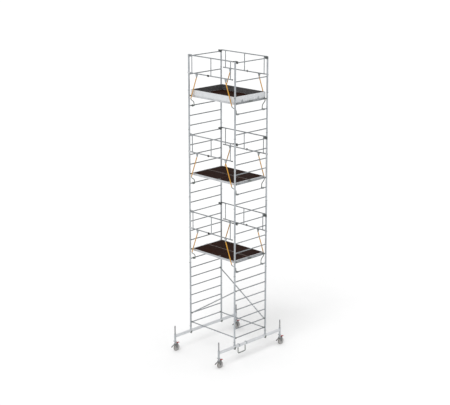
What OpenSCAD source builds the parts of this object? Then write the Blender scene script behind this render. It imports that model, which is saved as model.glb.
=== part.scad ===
// Mobile aluminium scaffold tower with three platform levels on four adjustable castors.
// Origin on the floor at the middle of the tower, +X along the platforms, +Y along the rungs, +Z up.

/* [Tower] */
// Distance between the two end frames, centre to centre
frame_len = 1800; // [1500:10:2200]
// Distance between the two posts of one end frame, centre to centre
frame_w = 1260; // [1050:10:1520]
// Distance between two rungs
rung_pitch = 280; // [230:2:340]
// Height of the lowest rung above the floor
first_rung_z = 720; // [700:5:800]
// Outer diameter of a post
post_d = 50; // [40:1:60]
// Outer diameter of a rung
rung_d = 30; // [24:1:36]
// Wall of posts, rungs and rails
tube_wall = 2; // [1.5:0.5:3]

/* [Base] */
// Distance from a post to the castor beside it, along the base beam
beam_overhang = 630; // [500:10:800]
// Width of a base beam
beam_t = 50; // [42:1:60]
// Height of a base beam
beam_h = 77; // [60:1:90]
// Wall of a base beam
beam_wall = 3; // [2:0.5:5]
// Outer diameter of the castor sleeve at the end of a base beam
sleeve_d = 56; // [50:1:66]
// Length of the castor sleeve
sleeve_h = 210; // [160:5:260]
// Diameter of the steel bar of the access step
step_d = 27; // [20:1:34]
// Distance between the two arms of the access step
step_w = 290; // [240:5:350]
// Height of the tread bar of the access step above the floor
step_z = 210; // [190:5:260]

/* [Castors] */
// Diameter of a castor wheel
wheel_d = 200; // [160:5:220]
// Width of a castor wheel
wheel_w = 50; // [40:1:56]
// Distance from the swivel axis to the wheel axle
trail = 50; // [40:1:60]
// Outer diameter of the threaded spindle
spindle_d = 38; // [32:1:42]
// Length of the threaded spindle
spindle_len = 525; // [430:5:640]

/* [Platforms] */
// Height of a platform surface above the rung that carries it
deck_rise = 40; // [36:1:48]
// Height of the deck side rails
deck_h = 58; // [48:1:70]
// Width of a deck side rail
deck_rail_w = 15; // [12:1:20]
// Thickness of the plywood
ply_t = 12; // [9:1:14]
// Length of the hatch
hatch_len = 620; // [520:10:750]
// Distance from the tower's middle to the near end of the hatch
hatch_x = 110; // [80:5:140]
// Height of a toe board
toe_h = 150; // [120:5:180]
// Thickness of a toe board
toe_t = 22; // [18:1:26]

/* [Guard rails] */
// Outer diameter of the guard rails
rail_d = 32; // [26:1:38]
// Outer diameter of the guard frame uprights
upright_d = 26; // [22:1:32]
// Distance between the top and the bottom guard rail
rail_gap = 490; // [400:5:590]
// Outer diameter of a strut tube
strut_d = 28; // [22:1:34]
// Outer diameter of the braces at the foot of the tower
brace_d = 32; // [26:1:38]

/* [Hidden] */
$fn = 40;

// clearances
seat_gap = 0.3;   // between a claw and its rung, and between stacked pieces
weld_gap = 0.1;   // left at a weld, so that the two tubes stay separate lengths
run_gap = 0.05;   // on the radius of a turning or sliding fit
pin_gap = 0.5;    // around a spring clip pin and around a spigot

// heights
beam_z = first_rung_z - 260;
beam_top = beam_z + beam_h / 2;
foot_z = first_rung_z - rung_pitch / 2;
tier_rungs = [7, 7, 7, 4];
tier_first = [1, 8, 15, 22];
last_rung = 25;
deck_rungs = [9, 17, 25];
guard_rungs = 4;            // rungs from a deck to its top guard rail
low_guard_rise = 613 / 280; // lower rung of the end guard frame, in rung pitches above the deck rung
post_top_rise = 45;

end_x = frame_len / 2;
post_y = frame_w / 2;
end_reach = post_d / 2 + 27.3; // how far the top rail caps stand out from the post line

// decks
deck_half = post_y - post_d / 2 - 5;
deck_end = end_x - 50;
deck_seam = 2;
end_rail_w = 30;
cross_w = 25;
hinge_r = 7;
hinge_pin_r = 4;
hinge_lift = 8;
leaf_gap = 3;
leaf_w = deck_half - deck_rail_w - 65;
claw_t = 8;

// guard frames
guard_y = post_y + post_d / 2;
top_rail_rise = 35;
upright_x = end_x - 150;
low_rail_end = end_x - 80;
top_rail_end = end_x - 55;
knob_x = 90;
knob_d = 64;

// struts
pivot_x = end_x - 335;
pivot_drop = 95;
pivot_r = 5;
fork_t = 4;
eye_t = 14;
strut_claw_y = post_y - post_d / 2 - 110;

// castors
castor_y = post_y + beam_overhang;
sleeve_z = beam_z - 140;
nut_h = 38;
nut_z = sleeve_z - seat_gap - nut_h;
stem_z = nut_z - seat_gap - 30;
crown_z = wheel_d + 14;
castor_reach = trail + wheel_d / 2;
fork_in = wheel_w / 2 + 4;
fork_wall = 4;
axle_r = 8;
king_r = 8;
crown_t = 7;
crown_top = crown_z + crown_t;
bolt_head_t = 7;
pedal_y = 78;
pedal_z = crown_z + 20;
pedal_pin_r = 4;

function rung_z(k) = first_rung_z + (k - 1) * rung_pitch;
function deck_z(level) = rung_z(deck_rungs[level - 1]) + deck_rise;
function guard_top_z(level) = rung_z(deck_rungs[level - 1] + guard_rungs) + top_rail_rise;
function guard_low_z(level) = guard_top_z(level) - rail_gap;
function joint_z(tier) =
    tier == 0 ? foot_z : rung_z(tier_first[tier - 1] + tier_rungs[tier - 1]) - rung_pitch / 2;

LEVELS = [1, 2, 3];
CORNERS = [[1, -1], [1, 1], [-1, -1], [-1, 1]];
CORNER_NAMES = ["right_front", "right_back", "left_front", "left_back"];

// ---------- shared shapes ----------

module rod_x(d, x0, x1) {
    translate([x0, 0, 0]) rotate([0, 90, 0]) cylinder(d = d, h = x1 - x0);
}

module rod_y(d, y0, y1) {
    translate([0, y0, 0]) rotate([-90, 0, 0]) cylinder(d = d, h = y1 - y0);
}

module tube_x(d, x0, x1) {
    difference() {
        rod_x(d, x0, x1);
        rod_x(d - 2 * tube_wall, x0 - 1, x1 + 1);
    }
}

module tube_z(d, z0, z1, wall = tube_wall) {
    translate([0, 0, z0]) difference() {
        cylinder(d = d, h = z1 - z0);
        translate([0, 0, -1]) cylinder(d = d - 2 * wall, h = z1 - z0 + 2);
    }
}

// a rectangular tube along +X, and one along +Y
module box_x(len, w, h, wall = tube_wall) {
    difference() {
        cube([len, w, h]);
        translate([-1, wall, wall]) cube([len + 2, w - 2 * wall, h - 2 * wall]);
    }
}

module box_y(w, len, h, wall = tube_wall) {
    translate([w, 0, 0]) rotate(90) box_x(len, w, h, wall);
}

// a flat profile in X and Z, drawn as [x, z], with a thickness along +Y
module plate_xz(y0, t) {
    translate([0, y0 + t, 0]) rotate([90, 0, 0]) linear_extrude(t) children();
}

// a flat profile in Y and Z, drawn as [y, z], with a thickness along +X
module plate_yz(x0, t) {
    translate([x0, 0, 0]) rotate([90, 0, 90]) linear_extrude(t) children();
}

// an open ring that hooks round a rung, its mouth turned by the angle
module claw_2d(mouth, t = claw_t) {
    inner = rung_d / 2 + seat_gap;
    difference() {
        circle(r = inner + t);
        circle(r = inner);
        rotate(mouth) translate([0, -inner]) square([inner + t + 1, 2 * inner]);
    }
}

module at_corner(i) {
    mirror([CORNERS[i][0] < 0 ? 1 : 0, 0, 0]) mirror([0, CORNERS[i][1] < 0 ? 1 : 0, 0]) children();
}

// both ends of the tower, the second one a mirror image
module both_ends() {
    for (m = [0, 1]) mirror([m, 0, 0]) children();
}

module both_sides() {
    for (m = [0, 1]) mirror([0, m, 0]) children();
}

// the second copy is the first one turned half a turn about the tower's middle
module turned_pair() {
    for (a = [0, 180]) rotate(a) children();
}

// ---------- base ----------

module base_beam() {
    translate([end_x, 0, 0]) {
        difference() {
            translate([-beam_t / 2, -castor_y, beam_z - beam_h / 2])
                box_y(beam_t, 2 * castor_y, beam_h, beam_wall);
            for (s = [-1, 1]) translate([0, s * castor_y, 0])
                cylinder(d = sleeve_d + 2 * weld_gap, h = 2 * beam_z);
        }
        for (s = [-1, 1]) translate([0, s * castor_y, sleeve_z]) difference() {
            cylinder(d = sleeve_d, h = sleeve_h);
            translate([0, 0, -1]) cylinder(d = spindle_d + 2 * run_gap, h = sleeve_h + 2);
        }
    }
}

module base_beam_left() {
    color("lightgray") mirror([1, 0, 0]) base_beam();
}

module base_beam_right() {
    color("lightgray") base_beam();
}

clamp_w = post_d + 4;
clamp_t = 5;
wedge_h = 42;
wedge_tip = 12;
foot_plate_t = 6;

module beam_clamps() {
    inner = beam_t / 2 + seat_gap;
    outer = inner + clamp_t;
    low = beam_z - beam_h / 2 - seat_gap;
    both_ends() both_sides() translate([end_x, post_y, 0]) {
        color("dimgray") {
            for (x = [-outer, inner]) translate([x, -clamp_w / 2, low])
                cube([clamp_t, clamp_w, beam_h / 2 + seat_gap]);
            plate_yz(-outer, 2 * outer) {
                translate([-clamp_w / 2, low - clamp_t]) square([clamp_w, clamp_t]);
                polygon([
                    [-clamp_w / 2, low - clamp_t], [clamp_w / 2, low - clamp_t],
                    [wedge_tip / 2, low - wedge_h], [-wedge_tip / 2, low - wedge_h]
                ]);
            }
        }
        color("lightgray") {
            translate([-outer, -clamp_w / 2, beam_top + seat_gap]) cube([2 * outer, clamp_w, foot_plate_t]);
            tube_z(post_d, beam_top + seat_gap + foot_plate_t, foot_z);
        }
    }
}

step_y = -303;
step_bend = 30;
step_clamp_w = 36;
step_clamp_h = 68;

// the arms of the step hang behind the right base beam, from two clamps that lie over it
module access_step() {
    front = step_d / 2 + beam_t + 2 * seat_gap; // from the bar's middle to the clamp's outer flange
    translate([end_x - beam_t / 2 - seat_gap - step_d / 2, step_y, 0]) {
        color("silver") both_sides() {
            translate([0, step_w / 2, step_z + step_bend + weld_gap])
                cylinder(d = step_d, h = beam_top - step_z - step_bend - weld_gap);
            translate([0, step_w / 2 - step_bend, step_z + step_bend]) rotate([0, 90, 0])
                rotate_extrude(angle = 90) translate([step_bend, 0]) circle(d = step_d);
        }
        color("silver") translate([0, 0, step_z])
            rod_y(step_d, -step_w / 2 + step_bend + weld_gap, step_w / 2 - step_bend - weld_gap);
        color("dimgray") both_sides() translate([0, (step_w - step_clamp_w) / 2, beam_top + seat_gap]) {
            translate([-step_d / 2, 0, 0]) cube([step_d / 2 + front + clamp_t, step_clamp_w, clamp_t]);
            translate([front, 0, -step_clamp_h]) cube([clamp_t, step_clamp_w, step_clamp_h]);
        }
    }
}

// ---------- end frames ----------

clip_rise = 30;
clip_pin_d = 9;

module clip_hole(z) {
    translate([0, 0, z]) rod_y(clip_pin_d + 2 * pin_gap, -post_d, post_d);
}

// one post from one section joint to the next, with a pin hole near its foot
module post(z0, z1) {
    difference() {
        tube_z(post_d, z0, z1);
        clip_hole(z0 + clip_rise);
    }
}

// one rung, hollow, coped to both posts
module rung(z) {
    translate([0, 0, z]) difference() {
        rod_y(rung_d, -post_y, post_y);
        rod_y(rung_d - 2 * tube_wall, -post_y, post_y);
        for (s = [-1, 1]) translate([0, s * post_y, -rung_d])
            cylinder(d = post_d + 2 * weld_gap, h = 2 * rung_d);
    }
}

module ladder_frames(tier) {
    z0 = joint_z(tier - 1);
    z1 = joint_z(tier);
    first = tier_first[tier - 1];
    color("lightgray") both_ends() translate([end_x, 0, 0]) {
        for (s = [-1, 1]) translate([0, s * post_y, 0]) post(z0, z1);
        for (k = [first:first + tier_rungs[tier - 1] - 1]) rung(rung_z(k));
    }
}

module end_guard_frames() {
    top = rung_z(last_rung + guard_rungs);
    color("lightgray") both_ends() translate([end_x, 0, 0]) {
        for (s = [-1, 1]) translate([0, s * post_y, 0]) post(joint_z(4), top + post_top_rise);
        rung(rung_z(last_rung) + low_guard_rise * rung_pitch);
        rung(top);
    }
}

spigot_d = post_d - 2 * tube_wall - 2 * pin_gap;
spigot_half = 75;
spigot_wall = 3;

// short tubes inside the post joints, cross-drilled for the spring clips
module spigots() {
    color("silver") both_ends() both_sides() for (tier = [0:4])
        translate([end_x, post_y, 0]) difference() {
            tube_z(spigot_d, joint_z(tier) - spigot_half, joint_z(tier) + spigot_half, spigot_wall);
            clip_hole(joint_z(tier) + clip_rise);
        }
}

// a pin through the joint, held by a wire ring that springs round the post
module spring_clips() {
    wire = 5;
    ring_r = post_d / 2 + seat_gap + wire / 2;
    pin_start = post_d / 2 - tube_wall - 8;
    pin_end = post_d / 2 + 24;
    color("dimgray") both_ends() both_sides() for (tier = [0:4])
        translate([end_x, post_y, joint_z(tier) + clip_rise]) {
            rod_y(clip_pin_d, pin_start, pin_end);
            rotate(95) rotate_extrude(angle = 350) translate([ring_r, 0]) circle(d = wire, $fn = 16);
        }
}

// ---------- braces ----------

brace_y = post_y - post_d / 2 - 20;
brace_claw_w = 30;
claw_out = rung_d / 2 + seat_gap + claw_t;

// a straight tube between two rungs, its ends coped to the claws
module brace(z_left, z_right) {
    rise = z_right - z_left;
    tilt = atan2(rise, frame_len);
    half = norm([rise, frame_len]) / 2;
    translate([0, 0, (z_left + z_right) / 2]) rotate([0, -tilt, 0]) difference() {
        tube_x(brace_d, -half, half);
        for (x = [-half, half]) translate([x, 0, 0]) rod_y(2 * claw_out, -brace_d, brace_d);
    }
}

module horizontal_braces() {
    color("silver") both_sides() translate([0, brace_y, 0]) brace(rung_z(1), rung_z(1));
}

module diagonal_braces() {
    color("silver") turned_pair() translate([0, -brace_y, 0]) brace(rung_z(2), rung_z(6));
}

module brace_claw(x, k) {
    translate([x, 0, rung_z(k)]) plate_xz(-brace_claw_w / 2, brace_claw_w) claw_2d(-90);
}

module brace_claws() {
    color("dimgray") {
        both_sides() both_ends() translate([0, brace_y, 0]) brace_claw(end_x, 1);
        turned_pair() translate([0, -brace_y, 0]) {
            brace_claw(-end_x, 2);
            brace_claw(end_x, 6);
        }
    }
}

// ---------- platforms ----------

module deck_rail(y) {
    translate([-deck_end, y, -deck_h]) box_x(2 * deck_end, deck_rail_w, deck_h);
}

deck_claw_w = 36;
wind_lock_w = 20;

// a hook over the end frame's rung, fixed to the end of the deck: its width along Y and its thickness
module rung_hook(w, t) {
    inner = rung_d / 2 + seat_gap;
    root = deck_end - end_x + weld_gap;
    translate([end_x, -w / 2, -deck_rise]) plate_xz(0, w) difference() {
        union() {
            circle(r = inner + t);
            translate([root, 0]) square([-root, inner + t]);
            translate([root, deck_rise - deck_h + 4]) square([-root - inner, deck_h - deck_rise]);
        }
        circle(r = inner);
        translate([-inner, -2 * inner]) square([3 * inner, 2 * inner]);
    }
}

// the frame of one deck that lies between y = 0 and y = deck_half
module deck_frame(hatch) {
    y0 = deck_seam / 2;
    y1 = deck_half;
    in0 = y0 + deck_rail_w + weld_gap;
    in1 = y1 - deck_rail_w - weld_gap;
    third = 2 * deck_end / 5;
    supports = hatch
        ? [-1.3 * third, -0.4 * third, hatch_x, hatch_x + hatch_len]
        : [-1.5 * third, -0.5 * third, 0.5 * third, 1.5 * third];
    deck_rail(y0);
    deck_rail(y1 - deck_rail_w);
    for (x = [-deck_end, deck_end - end_rail_w])
        translate([x, in0, -deck_h]) box_y(end_rail_w, in1 - in0, deck_h);
    for (x = supports)
        translate([x - cross_w / 2, in0, -ply_t - cross_w]) box_y(cross_w, in1 - in0, cross_w);
    for (y = [y0 + 30, y1 - 30]) both_ends() translate([0, y, 0]) rung_hook(deck_claw_w, claw_t);
    if (hatch) for (x = hinge_places) translate([x, hinge_y, hinge_lift]) hinge_ears();
}

hinge_places = [hatch_x + 110, hatch_x + hatch_len - 110];
hinge_y = deck_half - deck_rail_w - 2;
hinge_half = 15; // half the length of the leaf's knuckle
ear_w = 10;

// the pin of a hatch hinge and the two ears that hold it on the deck's side rail
module hinge_ears() {
    rod_x(2 * hinge_pin_r, -hinge_half - 1 - ear_w, hinge_half + 1 + ear_w);
    for (x = [-hinge_half - 1 - ear_w, hinge_half + 1]) {
        rod_x(2 * hinge_r, x, x + ear_w);
        translate([x, 0, weld_gap - hinge_lift]) cube([ear_w, hinge_r + 2, hinge_lift]);
    }
}

module deck_frames(level) {
    color("silver") translate([0, 0, deck_z(level)]) {
        deck_frame(false);
        mirror([0, 1, 0]) deck_frame(true);
        both_ends() rung_hook(wind_lock_w, claw_t - 2); // the wind catch at the end of the seam
    }
}

module deck_panel(hatch) {
    in0 = deck_seam / 2 + deck_rail_w + seat_gap;
    in1 = deck_half - deck_rail_w - seat_gap;
    x1 = deck_end - end_rail_w - seat_gap;
    translate([0, 0, -ply_t]) difference() {
        translate([-x1, in0, 0]) cube([2 * x1, in1 - in0, ply_t]);
        if (hatch) translate([hatch_x, in1 - leaf_w, -1]) cube([hatch_len, leaf_w + 1, ply_t + 2]);
    }
}

module deck_panels(level) {
    color([0.2, 0.13, 0.09]) translate([0, 0, deck_z(level)]) {
        deck_panel(false);
        mirror([0, 1, 0]) deck_panel(true);
    }
}

strap_len = 70;
strap_t = 3;

// the hatch leaf with its two hinge straps, in the deck on the front side
module hatch(level) {
    leaf_y = deck_half - deck_rail_w - leaf_w + leaf_gap;
    color([0.24, 0.16, 0.11]) translate([0, 0, deck_z(level)]) mirror([0, 1, 0]) difference() {
        union() {
            translate([hatch_x + leaf_gap, leaf_y, seat_gap - ply_t])
                cube([hatch_len - 2 * leaf_gap, hinge_y - 1 - leaf_y, ply_t - seat_gap]);
            for (x = hinge_places) translate([x, hinge_y, 0]) {
                translate([-hinge_half, -strap_len, 0]) cube([2 * hinge_half, strap_len - 2, strap_t]);
                translate([-hinge_half, -hinge_r + 1, 0]) cube([2 * hinge_half, hinge_r - 2, hinge_lift]);
                translate([0, 0, hinge_lift]) rod_x(2 * hinge_r, -hinge_half, hinge_half);
            }
        }
        translate([0, hinge_y, hinge_lift])
            rod_x(2 * (hinge_pin_r + run_gap), hatch_x, hatch_x + hatch_len);
    }
}

toe_clip_w = 40;
toe_clip_t = 10;

module toe_boards() {
    level_z = deck_z(3) + seat_gap;
    long_y = deck_half - 6;
    end_board_x = deck_end - 12;
    color("gainsboro") translate([0, 0, level_z]) {
        both_sides() translate([-deck_end + 5, long_y, 0]) box_x(2 * deck_end - 10, toe_t, toe_h);
        both_ends() {
            translate([end_board_x, -long_y + 2, 0]) box_y(toe_t, 2 * long_y - 4, toe_h);
            both_sides() translate([end_board_x + toe_t + weld_gap, (post_y - toe_clip_w) / 2, -4])
                cube([toe_clip_t, toe_clip_w, toe_h * 0.4]);
        }
    }
}

// ---------- guard rails ----------

// one guard frame in the plane y = 0, its low rail claw at the +X end
module guard_frame(level) {
    top = guard_top_z(level);
    low = guard_low_z(level);
    translate([0, 0, top]) tube_x(rail_d, -top_rail_end, top_rail_end);
    translate([0, 0, low]) tube_x(rail_d, -low_rail_end, low_rail_end);
    for (x = [-upright_x, 0, upright_x]) translate([x, 0, 0]) difference() {
        tube_z(upright_d, low, top);
        for (z = [low, top]) translate([0, 0, z]) rod_x(rail_d + 2 * weld_gap, -rail_d, rail_d);
    }
    both_ends() strut_fork(low);
}

fork_half = 45; // half the width of a fork plate at the rail
fork_tip = 14;
pin_head_t = 5;

// the two plates under the low rail, and the pin between them on which a strut turns
module strut_fork(low) {
    inner = eye_t / 2 + 0.2;
    outer = inner + fork_t;
    for (y = [-outer, inner]) difference() {
        translate([pivot_x, 0, low]) plate_xz(y, fork_t) {
            polygon([
                [-fork_half, 0], [fork_half, 0],
                [fork_tip, -pivot_drop], [-fork_tip, -pivot_drop]
            ]);
            translate([0, -pivot_drop]) circle(r = fork_tip);
        }
        translate([0, 0, low]) rod_x(rail_d + 2 * weld_gap, pivot_x - 2 * fork_half, pivot_x + 2 * fork_half);
    }
    translate([pivot_x, 0, low - pivot_drop]) {
        rod_y(2 * pivot_r, -inner, inner);
        for (y = [-outer - pin_head_t, outer]) rod_y(16, y, y + pin_head_t);
    }
}

module guard_frames(level) {
    color("lightgray") turned_pair() translate([0, -guard_y, 0]) guard_frame(level);
}

cap_t = 14;
cap_claw_w = 36;

// the cap on one end of the top rail, with the claw that sits over the end frame's rung
module top_rail_cap(top) {
    inner = rung_d / 2 + seat_gap;
    inset = guard_y - post_y + post_d / 2 + 4; // from the guard frame's plane to the inner side of the post
    left = top_rail_end + 1 - end_x;
    translate([0, 0, top]) rod_x(rail_d + 4, top_rail_end, top_rail_end + cap_t);
    translate([top_rail_end + 1, 0, top - 14]) cube([cap_t - 2, inset + cap_claw_w / 2, 28]);
    translate([end_x, 0, top - top_rail_rise]) plate_xz(inset, cap_claw_w) difference() {
        translate([left, -rung_d / 2 - 6]) square([end_reach - left, top_rail_rise + rung_d / 2 + 20]);
        circle(r = inner);
        translate([-inner, -2 * inner]) square([2 * inner, 2 * inner]);
    }
}

// the caps, plug, knob and post claw of one guard frame, with the post claw at the -X end
module guard_frame_fittings(level) {
    low = guard_low_z(level);
    both_ends() top_rail_cap(guard_top_z(level));
    translate([-knob_x, 0, low]) rod_y(knob_d, -rail_d, 0);
    translate([0, 0, low]) rod_x(rail_d + 4, low_rail_end, low_rail_end + cap_t + 2);
    post_claw(low);
}

// a claw at the end of the low rail that grips the post
module post_claw(low) {
    inner = post_d / 2 + seat_gap;
    inset = guard_y - post_y;
    translate([-end_x, inset, low - cap_claw_w / 2]) linear_extrude(cap_claw_w) difference() {
        union() {
            circle(r = inner + claw_t);
            translate([0, -inset - 12]) square([end_x - low_rail_end, 24]);
        }
        circle(r = inner);
        translate([-inner, 0]) square([4 * inner, 2 * inner]);
    }
}

module guard_fittings() {
    color([0.12, 0.12, 0.12]) for (level = LEVELS)
        turned_pair() translate([0, -guard_y, 0]) difference() {
            guard_frame_fittings(level);
            translate([0, 0, guard_low_z(level)]) rod_x(rail_d, -low_rail_end, low_rail_end);
        }
}

// ---------- struts ----------

eye_d = 26;
eye_neck = 22;     // from the pivot to the start of the round tube
jaw_gap = 1.2;     // between a strut's jaws and its rung, so that it can swing off
jaw_t = 7;
jaw_len = 18;
strut_claw_w = 30;

// the tube of a strut, hanging from its pivot, with its eye drilled for the pin
module strut_tube(tilt, len) {
    difference() {
        rotate([0, 180 - tilt, 0]) {
            difference() {
                translate([0, 0, eye_neck]) cylinder(d = strut_d, h = len - eye_neck);
                translate([0, 0, eye_neck + 18])
                    cylinder(d = strut_d - 2 * tube_wall, h = len - eye_neck - 38);
            }
            translate([-9, -eye_t / 2, 0]) cube([18, eye_t, eye_neck + 8]);
            rod_y(eye_d, -eye_t / 2, eye_t / 2);
        }
        rod_y(2 * (pivot_r + run_gap), -eye_t, eye_t);
    }
}

// the jaws that hold the rung at the foot of a strut, drawn round the rung with their mouth along +X
module strut_jaws_2d() {
    jaw_r = rung_d / 2 + jaw_gap;
    difference() {
        translate([-jaw_r - 26, -jaw_r - jaw_t]) square([jaw_r + 26 + jaw_len, 2 * (jaw_r + jaw_t)]);
        translate([jaw_gap - seat_gap, 0]) {
            circle(r = jaw_r);
            translate([0, -jaw_r]) square([2 * jaw_r, 2 * jaw_r]);
        }
    }
}

hook_d = 20;       // thickness of the hook's bar
hook_foot = 72;    // from the rung back to the foot of the hook's bar
knee_rise = 230;   // from the rung up to the end of the strut's tube

// one strut in the right back corner: tube, bent hook, and claw on the rung below the platform
module strut_shape(level) {
    rung = rung_z(deck_rungs[level - 1] - 1);
    pivot_z = guard_low_z(level) - pivot_drop;
    knee = [end_x - 100, rung + knee_rise];
    tilt = atan2(knee[0] - pivot_x, pivot_z - knee[1]);
    mouth = atan2(end_x - pivot_x, pivot_z - rung); // across the line from the pivot to the rung
    len = norm([knee[0] - pivot_x, pivot_z - knee[1]]);
    run = [end_x - hook_foot - knee[0], strut_claw_y + strut_claw_w / 2 - guard_y];
    translate([pivot_x, guard_y, pivot_z]) strut_tube(tilt, len);
    difference() {
        translate([knee[0], guard_y, rung]) rotate(atan2(run[1], run[0]))
            plate_xz(-hook_d / 2, hook_d) polygon(hook_outline(norm(run)));
        translate([pivot_x, guard_y, pivot_z]) rotate([0, 180 - tilt, 0])
            cylinder(r = 2 * strut_d, h = len + weld_gap);
    }
    plate_xz(strut_claw_y, strut_claw_w)
        translate([end_x - hook_foot - 12, rung - 11]) square([hook_foot - 28, 22]);
    plate_xz(strut_claw_y, strut_claw_w) translate([end_x, rung]) rotate(mouth) strut_jaws_2d();
}

// the bent bar of the hook, drawn in its own upright plane: from the knee, inwards under the platform,
// and down to its foot, which lies at the distance run from the knee
function hook_line(run) = [
    [0, knee_rise + 14],
    [4, knee_rise - 16],
    [28, knee_rise - 48],
    [run - 68, knee_rise - 80],
    [run - 28, knee_rise - 106],
    [run - 6, knee_rise - 140],
    [run, knee_rise - 176],
    [run, 0]
];
function left_of(a, b) = [a[1] - b[1], b[0] - a[0]] / norm(b - a);
function side_point(line, i, d) = line[i] + d * left_of(line[max(i - 1, 0)], line[min(i + 1, len(line) - 1)]);
function hook_outline(run, d = hook_d / 2) =
    let (line = hook_line(run), n = len(line) - 1)
    concat([for (i = [0:n]) side_point(line, i, d)], [for (i = [n:-1:0]) side_point(line, i, -d)]);

module strut(level, i) {
    color("goldenrod") at_corner(i) strut_shape(level);
}

// ---------- castors ----------

module at_castor(i) {
    translate([CORNERS[i][0] * end_x, CORNERS[i][1] * castor_y, 0]) children();
}

module castor_spindle(i) {
    color("gray") at_castor(i) {
        translate([0, 0, stem_z]) cylinder(d = spindle_d, h = spindle_len);
        translate([0, 0, crown_z + 8]) cylinder(d = 76, h = stem_z - crown_z - 8);
        translate([0, 0, crown_z - 4]) cylinder(r = king_r, h = 20);
        translate([0, 0, crown_z - 8]) cylinder(r = king_r + 6, h = 8 - seat_gap);
    }
}

module castor_nut(i) {
    color("silver") at_castor(i) translate([0, 0, nut_z]) difference() {
        union() {
            cylinder(d = 58, h = nut_h);
            for (a = [0, 180]) rotate(a + 35) translate([24, -9, 8]) cube([26, 18, 22]);
        }
        translate([0, 0, -1]) cylinder(d = spindle_d + 2 * run_gap, h = nut_h + 2);
    }
}

module castor_fork(i) {
    side = fork_in + fork_wall;
    axle_z = wheel_d / 2;
    color("silver") at_castor(i) difference() {
        union() {
            translate([-side, -36, crown_z]) cube([2 * side, pedal_y + 48, crown_t]);
            for (x = [-side, fork_in]) plate_yz(x, fork_wall) polygon([
                [-30, crown_z], [pedal_y + 10, crown_z], [trail + 20, axle_z - 5],
                [trail + 10, axle_z - 17], [trail - 10, axle_z - 17], [trail - 22, axle_z]
            ]);
            translate([0, trail, axle_z]) {
                rod_x(2 * axle_r, -side, side);
                for (x = [-side - bolt_head_t, side]) rod_x(26, x, x + bolt_head_t);
            }
            for (x = [-side, fork_in]) plate_yz(x, fork_wall) polygon([
                [pedal_y - 14, crown_top], [pedal_y + 10, crown_top],
                [pedal_y + 8, pedal_z + 8], [pedal_y - 8, pedal_z + 8]
            ]);
            translate([0, pedal_y, pedal_z]) rod_x(2 * pedal_pin_r, -side, side);
            plate_yz(-15, 30) polygon([
                [-36, crown_top], [-castor_reach, crown_z - 52], [-castor_reach, crown_z - 66],
                [16 - castor_reach, crown_z - 66], [-60, crown_z - 20], [-30, crown_z]
            ]);
        }
        translate([0, 0, crown_z - 1]) cylinder(r = king_r + run_gap, h = crown_t + 2);
    }
}

module castor_wheel(i) {
    color("gainsboro") at_castor(i) translate([0, trail, wheel_d / 2]) rotate([0, 90, 0]) difference() {
        union() {
            cylinder(d = wheel_d, h = wheel_w, center = true);
            cylinder(d = 50, h = 2 * fork_in - 1, center = true);
        }
        for (s = [-1, 1]) translate([0, 0, s * wheel_w / 2]) difference() {
            cylinder(d = wheel_d - 44, h = 18, center = true);
            cylinder(d = 50, h = 20, center = true);
        }
        cylinder(r = axle_r + run_gap, h = 3 * wheel_w, center = true);
    }
}

module castor_pedal(i) {
    half = fork_in - 1;
    color("firebrick") at_castor(i) translate([0, pedal_y, pedal_z]) difference() {
        union() {
            rod_x(20, -half, half);
            translate([-half, 0, 2]) cube([2 * half, castor_reach - pedal_y - 1, 8]);
            translate([-half, castor_reach - pedal_y - 9, -6]) cube([2 * half, 8, 10]);
        }
        rod_x(2 * (pedal_pin_r + run_gap), -2 * half, 2 * half);
    }
}

// ---------- choice of node ----------

base_beam_left();
base_beam_right();
beam_clamps();
access_step();
for (tier = [1:4]) ladder_frames(tier);
end_guard_frames();
spigots();
spring_clips();
horizontal_braces();
diagonal_braces();
brace_claws();
for (level = LEVELS) {
    deck_frames(level);
    deck_panels(level);
    hatch(level);
    guard_frames(level);
}
toe_boards();
guard_fittings();
for (i = [0:3]) {
    corner = CORNER_NAMES[i];
    for (level = LEVELS)
        strut(level, i);
    castor_spindle(i);
    castor_nut(i);
    castor_fork(i);
    castor_wheel(i);
    castor_pedal(i);
}
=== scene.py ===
from math import asin, atan2, cos, hypot, pi, radians, sin, sqrt
import bpy
import numpy as np
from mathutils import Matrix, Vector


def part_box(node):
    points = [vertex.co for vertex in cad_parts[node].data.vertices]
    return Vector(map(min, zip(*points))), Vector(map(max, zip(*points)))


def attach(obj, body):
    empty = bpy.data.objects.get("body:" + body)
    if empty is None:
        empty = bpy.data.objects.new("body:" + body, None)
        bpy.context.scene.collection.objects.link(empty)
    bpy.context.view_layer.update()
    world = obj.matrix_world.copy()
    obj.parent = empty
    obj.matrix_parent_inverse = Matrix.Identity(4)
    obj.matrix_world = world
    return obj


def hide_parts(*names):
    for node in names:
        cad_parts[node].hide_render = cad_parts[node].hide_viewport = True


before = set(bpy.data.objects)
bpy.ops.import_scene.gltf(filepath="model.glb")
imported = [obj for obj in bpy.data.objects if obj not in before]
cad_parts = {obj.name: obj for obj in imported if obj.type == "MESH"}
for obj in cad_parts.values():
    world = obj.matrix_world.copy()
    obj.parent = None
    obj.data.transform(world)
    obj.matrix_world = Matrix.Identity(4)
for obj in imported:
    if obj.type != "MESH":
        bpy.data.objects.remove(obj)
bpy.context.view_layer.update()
random = np.random.default_rng(11)  # only for the small differences of tone between tubes

xAxis, yAxis, zAxis = np.eye(3)
layouts = {  # the two directions a section is drawn in, and the one it is carried along
    "x": (yAxis, zAxis, xAxis),
    "y": (xAxis, zAxis, -yAxis),
    "z": (xAxis, yAxis, zAxis),
}


def corners(node):
    low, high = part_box(node)
    return np.array(low), np.array(high)


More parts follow.
